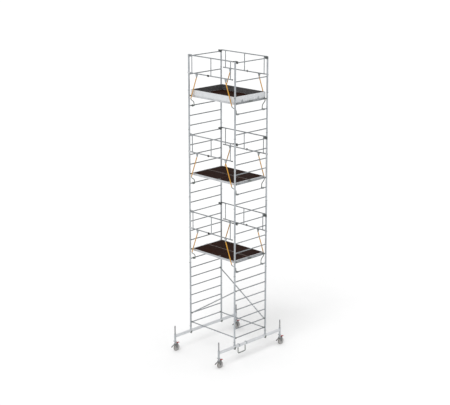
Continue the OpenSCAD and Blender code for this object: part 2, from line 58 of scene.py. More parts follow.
# the main sizes of the tower, in metres
tower = {
    "postDiameter": 0.050,
    "rungDiameter": 0.030,
    "rungPitch": 0.280,
    "tubeWall": 0.002,
    "tierRungs": (7, 7, 7, 4),
    "deckRungs": (9, 17, 25),
    "guardRungs": 4,
    "guardRungGap": 0.507,
    "railDiameter": 0.032,
    "railGap": 0.490,
    "seatGap": 0.0003,
}
levels = (1, 2, 3)
cornerSigns = {
    "right_front": (1, -1),
    "right_back": (1, 1),
    "left_front": (-1, -1),
    "left_back": (-1, 1),
}
postRadius = tower["postDiameter"] / 2
rungRadius = tower["rungDiameter"] / 2
railRadius = tower["railDiameter"] / 2
seatGap = tower["seatGap"]
frameLow, frameHigh = corners("ladder_frames_tier_1")
endX = frameHigh[0] - postRadius
postY = frameHigh[1] - postRadius
firstRung = frameLow[2] + tower["rungPitch"] / 2
jointHeights = [corners(f"ladder_frames_tier_{tier}")[0][2] for tier in (1, 2, 3, 4)]
jointHeights.append(corners("end_guard_frames")[0][2])
deckHeights = [corners(f"deck_panels_level_{level}")[1][2] for level in levels]
topRails = [corners(f"guard_frames_level_{level}")[1][2] - railRadius for level in levels]
guardY = postY + postRadius


def rungHeight(number):
    return firstRung + (number - 1) * tower["rungPitch"]


# ---------- shapes ----------


def circle(radius, count=32):
    # points at equal angles on a circle
    turn = np.linspace(0, 2 * pi, count, endpoint=False)
    return radius * np.stack([np.cos(turn), np.sin(turn)], axis=1)


def arc(centre, radius, start, end, count=12):
    # points at equal angles on a part of a circle, angles in degrees
    turn = np.radians(np.linspace(start, end, count))
    return np.array(centre) + radius * np.stack([np.cos(turn), np.sin(turn)], axis=1)


def ribbedCircle(radius, ribs, depth, perRib=3):
    # the radius drops by the depth once in every rib, as a cosine of the angle
    turn = np.linspace(0, 2 * pi, ribs * perRib, endpoint=False)
    reach = radius - depth * (0.5 - 0.5 * np.cos(ribs * turn))
    return reach[:, None] * np.stack([np.cos(turn), np.sin(turn)], axis=1)


def box2d(width, height, corner=0.002, steps=4, centre=(0, 0)):
    # a rectangle with its corners rounded by quarter circles
    w, h = width / 2 - corner, height / 2 - corner
    parts = [
        arc((sx * w, sy * h), corner, start, start + 90, steps)
        for sx, sy, start in ((1, -1, -90), (1, 1, 0), (-1, 1, 90), (-1, -1, 180))
    ]
    return np.concatenate(parts) + np.array(centre)


def groovedBox(width, height, corner, grooves, depth, grooveWidth):
    # a rounded rectangle with the same shallow grooves cut along both of its upright sides
    w, h, half = width / 2, height / 2, grooveWidth / 2
    side = [
        point
        for middle in grooves
        for point in (
            (w, middle - half),
            (w - depth, middle - half + depth),
            (w - depth, middle + half - depth),
            (w, middle + half),
        )
    ]
    side = np.array(side)
    return np.concatenate([
        arc((w - corner, corner - h), corner, -90, 0, 4),
        side,
        arc((w - corner, h - corner), corner, 0, 90, 4),
        arc((corner - w, h - corner), corner, 90, 180, 4),
        -side,
        arc((corner - w, corner - h), corner, 180, 270, 4),
    ])


def hookOutline(inner, thickness, root=None, low=None):
    # half a ring over a rung, open below, with legs or with a straight root to one side
    outer = inner + thickness
    lining = arc((0, 0), inner, 180, 0, 16)
    if root is None:
        leg = sqrt(outer**2 - inner**2)
        lean = np.degrees(asin(leg / outer))
        ends = [arc((0, 0), outer, -lean, 180 + lean, 28), [(-inner, -leg)], lining, [(inner, -leg)]]
    else:
        ends = [arc((0, 0), outer, 0, 90, 12), [(root, outer), (root, low), (-inner, low)], lining]
    return np.concatenate(ends)


def inset(outline, distance):
    # every point moves in along the mitre of the two edges that meet there
    before = outline - np.roll(outline, 1, axis=0)
    after = np.roll(outline, -1, axis=0) - outline
    normals = []
    for edge in (before, after):
        length = np.maximum(np.linalg.norm(edge, axis=1, keepdims=True), 1e-9)
        normals.append(np.stack([edge[:, 1], -edge[:, 0]], axis=1) / length)
    mitre = (normals[0] + normals[1]) / (1 + np.sum(normals[0] * normals[1], axis=1, keepdims=True)).clip(0.4)
    return outline - distance * mitre


def counterClockwise(outline):
    # the sign of the enclosed area tells which way round the points go
    x, y = outline[:, 0], outline[:, 1]
    area = np.sum(x * np.roll(y, -1) - y * np.roll(x, -1))
    return outline if area > 0 else outline[::-1]


def gridShell(grid, loop=False, mat=0, capMat=None, groove=None):
    # a closed skin over a grid of points, rows along the piece and columns round it
    rows, columns = grid.shape[:2]
    index = np.arange(rows * columns).reshape(rows, columns)
    if loop:
        index = np.concatenate([index, index[:1]])
    wide = np.concatenate([index, index[:, :1]], axis=1)
    points = grid.reshape(-1, 3)
    faces = np.stack([wide[:-1, :-1], wide[:-1, 1:], wide[1:, 1:], wide[1:, :-1]], axis=-1).reshape(-1, 4)
    placed = points[wide]
    around = np.linalg.norm(np.diff(placed, axis=1), axis=2).mean(axis=0)
    along = np.linalg.norm(np.diff(placed, axis=0), axis=2).mean(axis=1)
    u = np.concatenate([[0], np.cumsum(around)])
    v = np.concatenate([[0], np.cumsum(along)])
    u, v = np.meshgrid(u, v)
    uv = np.stack([u, v], axis=-1)
    uv = np.stack([uv[:-1, :-1], uv[:-1, 1:], uv[1:, 1:], uv[1:, :-1]], axis=2).reshape(-1, 4, 2)
    shell = {"co": points, "faces": [faces], "uvs": [uv], "mats": [mat]}
    if not loop:
        for ring in (index[:1, ::-1], index[-1:]):
            flat = points[ring[0]] - points[ring[0]].mean(axis=0)
            across = flat[0] / max(np.linalg.norm(flat[0]), 1e-9)
            other = flat - np.outer(flat @ across, across)
            other = other[np.argmax(np.linalg.norm(other, axis=1))]
            other = other / max(np.linalg.norm(other), 1e-9)
            shell["faces"].append(ring)
            shell["uvs"].append(np.stack([flat @ across, flat @ other], axis=1)[None])
            shell["mats"].append(mat if capMat is None else capMat)
    shell["groove"] = np.zeros(len(points)) if groove is None else groove.ravel()
    return shell


def stack(sections, heights, centre=(0, 0, 0), layout="z", **options):
    # one flat section for each height, joined in order
    a, b, c = layouts[layout]
    sections = np.stack(sections)
    heights = np.array(heights, float)
    grid = sections[..., :1] * a + sections[..., 1:] * b + heights[:, None, None] * c
    return gridShell(grid + np.array(centre), **options)


def plate(outline, low, high, layout="z", centre=(0, 0, 0), bevel=0.0008, **options):
    # an outline with a thickness and bevelled edges; low and high are along the named axis
    outline = counterClockwise(np.array(outline, float))
    small = inset(outline, bevel)
    if layout == "y":
        low, high = -high, -low
    heights = (low, low + bevel, high - bevel, high)
    return stack((small, outline, outline, small), heights, centre, layout, **options)


def block(low, high, corner=0.002, bevel=0.0008, layout="z", **options):
    # a box with rounded upright edges, between two corners
    low, high = np.array(low), np.array(high)
    middle = (low + high) / 2
    keep = {"x": (1, 2, 0), "y": (0, 2, 1), "z": (0, 1, 2)}[layout]
    size = high - low
    outline = box2d(size[keep[0]], size[keep[1]], corner, 4, (middle[keep[0]], middle[keep[1]]))
    return plate(outline, low[keep[2]], high[keep[2]], layout, bevel=bevel, **options)


def turnedShape(profile, centre=(0, 0, 0), layout="z", count=32, **options):
    # a profile of radius and height turned round an axis
    turn = circle(1, count)
    sections = [radius * turn for radius, height in profile]
    return stack(sections, [height for radius, height in profile], centre, layout, **options)


def pin(radius, low, high, centre, layout, edge=0.001, count=24, **options):
    # a round bar with its two edges broken
    if layout == "y":
        low, high = -high, -low
    profile = ((radius - edge, low), (radius, low + edge), (radius, high - edge), (radius - edge, high))
    return turnedShape(profile, centre, layout, count, **options)


def hexHead(radius, low, high, centre, layout, **options):
    # a six-sided bolt head, rounded a little towards its top
    turn = circle(1, 6)
    if layout == "y":
        low, high = -high, -low
    middle = high - 0.2 * (high - low)
    sections = (radius * turn, radius * turn, 0.86 * radius * turn)
    return stack(sections, (low, middle, high), centre, layout, **options)


def sweep(path, section, side, **options):
    # a section carried along a flat path; side is square to the path's plane
    path, side = np.array(path, float), np.array(side, float)
    tangent = np.gradient(path, axis=0)
    tangent /= np.linalg.norm(tangent, axis=1, keepdims=True)
    across = np.cross(side, tangent)
    grid = path[:, None] + section[None, :, :1] * across[:, None] + section[None, :, 1:] * side
    return gridShell(grid, **options)


def bar(start, end, section, side, bevel=0.0008, **options):
    # a straight length of a section with its end edges broken
    start, end = np.array(start, float), np.array(end, float)
    run = (end - start) / np.linalg.norm(end - start)
    path = np.array([start, start + bevel * run, end - bevel * run, end])
    small = inset(section, bevel)
    sections = np.stack([small, section, section, small])
    across = np.cross(side, run)
    grid = path[:, None] + sections[..., :1] * across + sections[..., 1:] * np.array(side)
    return gridShell(grid, **options)


def roundedPath(points, radius, steps=10):
    # straight runs joined by circular bends of one radius
    points = [np.array(point, float) for point in points]
    path = [points[0]]
    for before, here, after in zip(points, points[1:], points[2:]):
        back, on = before - here, after - here
        back, on = back / np.linalg.norm(back), on / np.linalg.norm(on)
        half = np.arccos(np.clip(back @ on, -1, 1)) / 2
        middle = here + (back + on) / np.linalg.norm(back + on) * radius / sin(half)
        start = here + back * radius / np.tan(half) - middle
        end = here + on * radius / np.tan(half) - middle
        share = np.linspace(0, 1, steps)[:, None]
        opening = pi - 2 * half
        bend = (np.sin((1 - share) * opening) * start + np.sin(share * opening) * end) / sin(opening)
        path.extend(middle + bend)
    path.append(points[-1])
    return np.array(path)


def smoothPath(points, steps=6):
    # a curve through all the points, each stretch a cubic whose slopes follow the neighbours
    points = np.array(points, float)
    whole = np.concatenate([2 * points[:1] - points[1:2], points, 2 * points[-1:] - points[-2:-1]])
    share = np.linspace(0, 1, steps, endpoint=False)[None, :, None]
    p0, p1, p2, p3 = (whole[i:len(whole) - 3 + i, None] for i in range(4))
    curve = 0.5 * (
        2 * p1
        + (p2 - p0) * share
        + (2 * p0 - 5 * p1 + 4 * p2 - p3) * share**2
        + (3 * p1 - p0 - 3 * p2 + p3) * share**3
    )
    return np.concatenate([curve.reshape(-1, 3), points[-1:]])


def beadAlong(line, radial, away, bead, ripples, mat=0):
    # a bead round a closed line: circles of a radius that swells once in every ripple
    turn = np.linspace(0, 2 * pi, len(line), endpoint=False)
    size = bead * (1 + 0.14 * np.cos(ripples * turn))[:, None, None]
    around = np.linspace(0, 2 * pi, 6, endpoint=False)[None, :, None]
    grid = line[:, None] + size * (np.cos(around) * radial[:, None] - np.sin(around) * away)
    return gridShell(grid, loop=True, mat=mat)


def weldBead(centre, away, mainAxis, small, large, bead=0.0022, mat=0):
    # where a small tube stands square on a large one, the bead follows the saddle between them
    turn = np.linspace(0, 2 * pi, 30, endpoint=False)[:, None]
    across = np.cross(mainAxis, away)
    radial = np.cos(turn) * across + np.sin(turn) * mainAxis
    reach = np.sqrt(large**2 - (small * np.cos(turn))**2)
    return beadAlong(np.array(centre) + small * radial + reach * away, radial, away, bead, 15, mat)


def copied(shell, offsets):
    # the same small shell at many places, as one shell
    offsets = np.array(offsets, float)
    count, size = len(offsets), len(shell["co"])
    shift = size * np.arange(count)
    return {
        "co": (shell["co"][None] + offsets[:, None]).reshape(-1, 3),
        "faces": [(f[None] + shift[:, None, None]).reshape(-1, f.shape[1]) for f in shell["faces"]],
        "uvs": [np.tile(uv, (count, 1, 1)) for uv in shell["uvs"]],
        "mats": list(shell["mats"]),
        "groove": np.tile(shell["groove"], count),
    }


def facing(shell, direction, mat):
    # the faces that look along a direction take a material of their own
    faces, uv = shell["faces"][0], shell["uvs"][0]
    first, second, third = (shell["co"][faces[:, i]] for i in (0, 1, 2))
    normal = np.cross(second - first, third - first)
    chosen = normal @ direction > 0.7 * np.linalg.norm(normal, axis=1)
    return {
        **shell,
        "faces": [faces[~chosen], faces[chosen]] + shell["faces"][1:],
        "uvs": [uv[~chosen], uv[chosen]] + shell["uvs"][1:],
        "mats": [shell["mats"][0], mat] + shell["mats"][1:],
    }


def flipped(shell, signs):
    # a mirror image, with the faces turned back outwards where the image turns them in
    signs = np.array(signs, float)
    turnBack = np.prod(signs) < 0
    return {
        **shell,
        "co": shell["co"] * signs,
        "faces": [f[:, ::-1] if turnBack else f for f in shell["faces"]],
        "uvs": [uv[:, ::-1] if turnBack else uv for uv in shell["uvs"]],
    }


def turnedBy(shell, angle, axis="z", centre=(0, 0, 0)):
    # a rotation about an axis through a point, the angle in degrees
    c, s = cos(radians(angle)), sin(radians(angle))
    matrix = {
        "x": np.array([[1, 0, 0], [0, c, -s], [0, s, c]]),
        "y": np.array([[c, 0, s], [0, 1, 0], [-s, 0, c]]),
        "z": np.array([[c, -s, 0], [s, c, 0], [0, 0, 1]]),
    }[axis]
    centre = np.array(centre, float)
    return {**shell, "co": (shell["co"] - centre) @ matrix.T + centre}


def moved(shell, by):
    return {**shell, "co": shell["co"] + np.array(by, float)}


def allFour(shells):
    return [flipped(shell, (sx, sy, 1)) for shell in shells for sx, sy in cornerSigns.values()]


def bothEnds(shells):
    return [flipped(shell, (sx, 1, 1)) for shell in shells for sx in (1, -1)]


def bothSides(shells):
    return [flipped(shell, (1, sy, 1)) for shell in shells for sy in (1, -1)]


def halfTurned(shells):
    return list(shells) + [turnedBy(shell, 180) for shell in shells]


def makePiece(name, shells, materials, body, replaced=(), smoothAngle=38):
    # all the shells become one mesh, with a place for each material and a tone for each shell
    firsts = np.cumsum([0] + [len(shell["co"]) for shell in shells])
    loops, sizes, uvs, mats = [], [], [], []
    for shell, first in zip(shells, firsts):
        for faces, uv, mat in zip(shell["faces"], shell["uvs"], shell["mats"]):
            loops.append((faces + first).ravel())
            sizes.append(np.full(len(faces), faces.shape[1]))
            uvs.append(uv.reshape(-1, 2))
            mats.append(np.full(len(faces), mat))
    loops, sizes = np.concatenate(loops), np.concatenate(sizes)
    mesh = bpy.data.meshes.new(name)
    mesh.vertices.add(firsts[-1])
    mesh.vertices.foreach_set("co", np.concatenate([shell["co"] for shell in shells]).astype("f").ravel())
    mesh.loops.add(len(loops))
    mesh.loops.foreach_set("vertex_index", loops.astype("i"))
    mesh.polygons.add(len(sizes))
    mesh.polygons.foreach_set("loop_start", (np.cumsum(sizes) - sizes).astype("i"))
    mesh.polygons.foreach_set("material_index", np.concatenate(mats).astype("i"))
    mesh.uv_layers.new(name="surface").data.foreach_set("uv", np.concatenate(uvs).astype("f").ravel())
    tones = np.concatenate([np.full(len(shell["co"]), random.random()) for shell in shells])
    grooves = np.concatenate([shell["groove"] for shell in shells])
    for label, values in (("tone", tones), ("groove", grooves)):
        mesh.attributes.new(label, "FLOAT", "POINT").data.foreach_set("value", values.astype("f"))
    mesh.update(calc_edges=True)
    mesh.validate()
    mesh.polygons.foreach_set("use_smooth", np.ones(len(mesh.polygons), bool))
    mesh.set_sharp_from_angle(angle=radians(smoothAngle))
    for material in materials:
        mesh.materials.append(material)
    piece = bpy.data.objects.new(name, mesh)
    bpy.context.scene.collection.objects.link(piece)
    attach(piece, body)
    if replaced:
        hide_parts(*replaced)
    return piece


# ---------- shader groups ----------


def newGroup(name, inputs, outputs):
    tree = bpy.data.node_groups.new(name, "ShaderNodeTree")
    for label, kind, value in inputs:
        socket = tree.interface.new_socket(label, in_out="INPUT", socket_type=f"NodeSocket{kind}")
        if value is not None:
            socket.default_value = value
    for label, kind in outputs:
        tree.interface.new_socket(label, in_out="OUTPUT", socket_type=f"NodeSocket{kind}")
    return tree, tree.nodes.new("NodeGroupInput").outputs, tree.nodes.new("NodeGroupOutput").inputs


def addNode(tree, kind, inputs=None, **settings):
    # a node with its settings, and its inputs given as plain values or as sockets to link
    node = tree.nodes.new(f"ShaderNode{kind}")
    for key, value in settings.items():
        setattr(node, key, value)
    for key, value in (inputs or {}).items():
        if isinstance(value, bpy.types.NodeSocket):
            tree.links.new(value, node.inputs[key])
        else:
            node.inputs[key].default_value = value
    return node


def mathNode(tree, operation, first, second, clamp=False):
    return addNode(tree, "Math", {0: first, 1: second}, operation=operation, use_clamp=clamp).outputs[0]


def times(tree, first, second):
    return mathNode(tree, "MULTIPLY", first, second)


def mixColour(tree, share, first, second):
    return addNode(tree, "Mix", {0: share, 6: first, 7: second}, data_type="RGBA").outputs[2]


def rangeNode(tree, value, low, high, newLow=0.0, newHigh=1.0):
    inputs = {"Value": value, "From Min": low, "From Max": high, "To Min": newLow, "To Max": newHigh}
    return addNode(tree, "MapRange", inputs).outputs[0]


def drawnLinesGroup():
    # noise drawn out along the second coordinate, as the die leaves it on a drawn tube
    sockets = (("Vector", "Vector", None), ("Across", "Float", 900.0), ("Along", "Float", 4.0))
    tree, given, result = newGroup("drawnLines", sockets, (("Lines", "Float"),))
    scale = addNode(tree, "CombineXYZ", {"X": given["Across"], "Y": given["Along"], "Z": 1.0}).outputs[0]
    stretched = addNode(tree, "VectorMath", {0: given["Vector"], 1: scale}, operation="MULTIPLY").outputs[0]
    noise = addNode(tree, "TexNoise", {"Vector": stretched, "Scale": 1.0, "Detail": 2.0}).outputs[0]
    tree.links.new(rangeNode(tree, noise, 0.32, 0.68), result["Lines"])
    return tree


def patchesGroup():
    # soft patches of noise between two levels, for handling marks, oxide and dirt
    sockets = (
        ("Vector", "Vector", None), ("Scale", "Float", 8.0), ("Low", "Float", 0.45), ("High", "Float", 0.65)
    )
    tree, given, result = newGroup("patches", sockets, (("Mask", "Float"),))
    inputs = {"Vector": given["Vector"], "Scale": given["Scale"], "Detail": 5.0, "Roughness": 0.6}
    noise = addNode(tree, "TexNoise", inputs).outputs[0]
    tree.links.new(rangeNode(tree, noise, given["Low"], given["High"]), result["Mask"])
    return tree


def scratchesGroup():
    # thin lines where a stretched noise crosses its middle, broken up by a second noise
    sockets = (("Vector", "Vector", None), ("Scale", "Float", 30.0), ("Width", "Float", 0.012))
    tree, given, result = newGroup("scratches", sockets, (("Mask", "Float"),))
    vector, scale = given["Vector"], given["Scale"]
    mapping = {"Vector": vector, "Rotation": (0.5, 0.9, 0.3), "Scale": (1, 7, 1)}
    stretched = addNode(tree, "Mapping", mapping).outputs[0]
    noise = addNode(tree, "TexNoise", {"Vector": stretched, "Scale": scale, "Detail": 1.0}).outputs[0]
    offset = mathNode(tree, "ABSOLUTE", mathNode(tree, "SUBTRACT", noise, 0.5), 0.0)
    line = mathNode(tree, "SUBTRACT", 1.0, mathNode(tree, "DIVIDE", offset, given["Width"]), clamp=True)
    broken = addNode(tree, "TexNoise", {"Vector": vector, "Scale": scale, "Detail": 2.0}).outputs[0]
    tree.links.new(times(tree, line, rangeNode(tree, broken, 0.5, 0.62)), result["Mask"])
    return tree


groups = {"lines": drawnLinesGroup(), "patches": patchesGroup(), "scratches": scratchesGroup()}


def useGroup(tree, name, inputs):
    return addNode(tree, "Group", inputs, node_tree=groups[name]).outputs[0]


def patches(tree, spot, scale, low, high):
    return useGroup(tree, "patches", {"Vector": spot, "Scale": scale, "Low": low, "High": high})


def scratchLines(tree, spot, scale, width):
    return useGroup(tree, "scratches", {"Vector": spot, "Scale": scale, "Width": width})


# ---------- materials ----------


def newMaterial(name, metallic, **fixed):
    material = bpy.data.materials.new(name)
    material.use_nodes = True
    tree = material.node_tree
    shader = tree.nodes["Principled BSDF"].inputs
    shader["Metallic"].default_value = metallic
    for key, value in fixed.items():
        shader[key.replace("_", " ")].default_value = value
    spot = addNode(tree, "TexCoord").outputs["Object"]
    return material, tree, shader, spot


def attribute(tree, name):
    return addNode(tree, "Attribute", attribute_name=name).outputs["Fac"]


def connect(tree, shader, base, rough, height, distance, strength):
    # the colour, the roughness and a bump of the given height go into the shader
    tree.links.new(base, shader["Base Color"])
    tree.links.new(rough, shader["Roughness"])
    node = addNode(tree, "Bump", {"Height": height, "Distance": distance, "Strength": strength})
    tree.links.new(node.outputs[0], shader["Normal"])


def colour(red, green, blue):
    # a colour given on the 0 to 255 scale of a screen, as the shader's own linear values
    share = np.array([red, green, blue]) / 255
    linear = np.where(share <= 0.04045, share / 12.92, ((share + 0.055) / 1.055)**2.4)
    return (*linear.tolist(), 1.0)


def aluminiumMaterial(name, look):
    # drawn aluminium: die lines, dull oxide patches, fine scratches, and a tone for each tube
    material, tree, shader, spot = newMaterial(name, look["metallic"])
    uv = addNode(tree, "TexCoord").outputs["UV"]
    lines = useGroup(tree, "lines", {"Vector": uv, "Across": look["across"], "Along": look["along"]})
    oxide = patches(tree, spot, look["oxideScale"], 0.40, 0.72)
    scratches = scratchLines(tree, spot, 26.0, 0.010)
    base = mixColour(tree, attribute(tree, "tone"), look["darkTube"], look["lightTube"])
    base = mixColour(tree, times(tree, oxide, look["oxide"]), base, look["oxideColour"])
    base = mixColour(tree, times(tree, scratches, 0.5), base, colour(244, 245, 246))
    rough = mathNode(tree, "ADD", times(tree, lines, 0.12), times(tree, oxide, 0.16))
    rough = mathNode(tree, "ADD", rough, look["rough"])
    connect(tree, shader, base, rough, mathNode(tree, "SUBTRACT", lines, scratches), look["depth"], 0.5)
    return material


def galvanisedMaterial(name, look):
    # zinc-coated steel: flat crystals of slightly different greys, and a dull film over them
    material, tree, shader, spot = newMaterial(name, look["metallic"])
    crystals = addNode(tree, "TexVoronoi", {"Vector": spot, "Scale": look["crystalScale"]})
    grey = addNode(tree, "SeparateColor", {0: crystals.outputs["Color"]}).outputs[0]
    film = patches(tree, spot, 35.0, 0.42, 0.70)
    scratches = scratchLines(tree, spot, 40.0, 0.014)
    base = mixColour(tree, grey, look["dark"], look["light"])
    base = mixColour(tree, times(tree, film, 0.45), base, look["film"])
    base = mixColour(tree, times(tree, scratches, 0.6), base, colour(196, 198, 196))
    rough = rangeNode(tree, film, 0.0, 1.0, look["rough"], look["rough"] + 0.22)
    connect(tree, shader, base, rough, mathNode(tree, "ADD", grey, film), 0.00015, 0.4)
    return material


def spindleMaterial(name, look):
    # bright threaded bar with old grease lying in the bottom of the thread
    material, tree, shader, spot = newMaterial(name, 1.0)
    grease = rangeNode(tree, patches(tree, spot, 30.0, 0.30, 0.62), 0, 1, 0.45, 1.0)
    grease = times(tree, attribute(tree, "groove"), grease)
    scratches = scratchLines(tree, spot, 60.0, 0.012)
    base = mixColour(tree, grease, look["bar"], look["grease"])
    base = mixColour(tree, times(tree, scratches, 0.4), base, colour(225, 226, 226))
    connect(tree, shader, base, rangeNode(tree, grease, 0, 1, 0.28, 0.55), scratches, 0.0001, 0.4)
    return material


def deckFilmMaterial(name, look):
    # dark phenolic film pressed with a fine wire mesh, worn paler where people step
    material, tree, shader, spot = newMaterial(name, 0.0, Specular_IOR_Level=0.02)
    turned = addNode(tree, "Mapping", {"Vector": spot, "Rotation": (0, 0, radians(45))}).outputs[0]
    mesh = {"Vector": turned, "Scale": 1 / look["meshPitch"], "Randomness": 0.0}
    cells = addNode(tree, "TexVoronoi", mesh).outputs["Distance"]
    wires = rangeNode(tree, cells, 0.30, 0.48)
    grain = addNode(tree, "Mapping", {"Vector": spot, "Scale": (0.6, 14.0, 1.0)}).outputs[0]
    streaks = patches(tree, grain, 5.0, 0.35, 0.70)
    wear = patches(tree, spot, 3.2, 0.50, 0.76)
    scratches = scratchLines(tree, spot, 9.0, 0.008)
    base = mixColour(tree, streaks, look["dark"], look["light"])
    base = mixColour(tree, times(tree, wires, 0.35), base, look["wire"])
    base = mixColour(tree, times(tree, wear, 0.35), base, look["worn"])
    base = mixColour(tree, times(tree, scratches, 0.5), base, look["scratch"])
    rough = rangeNode(tree, wear, 0, 1, 0.60, 0.78)
    connect(tree, shader, base, rough, mathNode(tree, "SUBTRACT", wires, scratches), 0.0005, 0.7)
    return material


def plyEdgeMaterial(name, look):
    # the cut edge of plywood: thin veneers, every second one darker, sealed with brown paint
    material, tree, shader, spot = newMaterial(name, 0.0)
    height = addNode(tree, "SeparateXYZ", {0: spot}).outputs["Z"]
    layer = mathNode(tree, "FRACT", mathNode(tree, "DIVIDE", height, 2 * look["veneer"]), 0.0)
    layer = mathNode(tree, "ABSOLUTE", mathNode(tree, "SUBTRACT", layer, 0.5), 0.0)
    layer = rangeNode(tree, layer, 0.2, 0.3)
    fibres = addNode(tree, "TexNoise", {"Vector": spot, "Scale": 260.0, "Detail": 3.0}).outputs[0]
    base = mixColour(tree, layer, look["paleVeneer"], look["darkVeneer"])
    base = mixColour(tree, times(tree, fibres, 0.5), base, look["sealer"])
    rough = rangeNode(tree, fibres, 0.3, 0.7, 0.55, 0.8)
    connect(tree, shader, base, rough, mathNode(tree, "ADD", layer, fibres), 0.0002, 0.5)
    return material


def paintMaterial(name, look):
    # powder coat: a fine orange peel, small differences of shade, and chips down to the metal
    material, tree, shader, spot = newMaterial(name, 0.0, Coat_Roughness=0.25)
    peel = addNode(tree, "TexNoise", {"Vector": spot, "Scale": look["peelScale"], "Detail": 2.0}).outputs[0]
    shade = patches(tree, spot, 6.0, 0.35, 0.70)
    chips = patches(tree, spot, look["chipScale"], 0.70, 0.72)
    scratches = scratchLines(tree, spot, 45.0, 0.010)
    bare = mathNode(tree, "MAXIMUM", times(tree, scratches, 0.7), chips)
    base = mixColour(tree, shade, look["dark"], look["light"])
    base = mixColour(tree, bare, base, look["under"])
    tree.links.new(rangeNode(tree, chips, 0, 1, 0.10, 0.0), shader["Coat Weight"])
    rough = rangeNode(tree, shade, 0, 1, look["rough"], look["rough"] + 0.12)
    connect(tree, shader, base, rough, mathNode(tree, "SUBTRACT", peel, bare), 0.0002, 0.4)
    return material


def plasticMaterial(name, look):
    # moulded plastic: a fine spark-eroded grain, scuffed paler in patches
    material, tree, shader, spot = newMaterial(name, 0.0, Specular_IOR_Level=look["specular"])
    grain = addNode(tree, "TexNoise", {"Vector": spot, "Scale": look["grainScale"], "Detail": 3.0}).outputs[0]
    scuffs = patches(tree, spot, look["scuffScale"], 0.48, 0.74)
    scratches = scratchLines(tree, spot, 55.0, 0.012)
    base = mixColour(tree, times(tree, scuffs, look["scuff"]), look["base"], look["scuffed"])
    base = mixColour(tree, times(tree, scratches, 0.5), base, look["scuffed"])
    base = mixColour(tree, times(tree, attribute(tree, "groove"), 0.75), base, look["dirt"])
    rough = rangeNode(tree, scuffs, 0, 1, look["rough"], look["rough"] + 0.2)
    connect(tree, shader, base, rough, mathNode(tree, "SUBTRACT", grain, scratches), look["grainDepth"], 0.5)
    return material


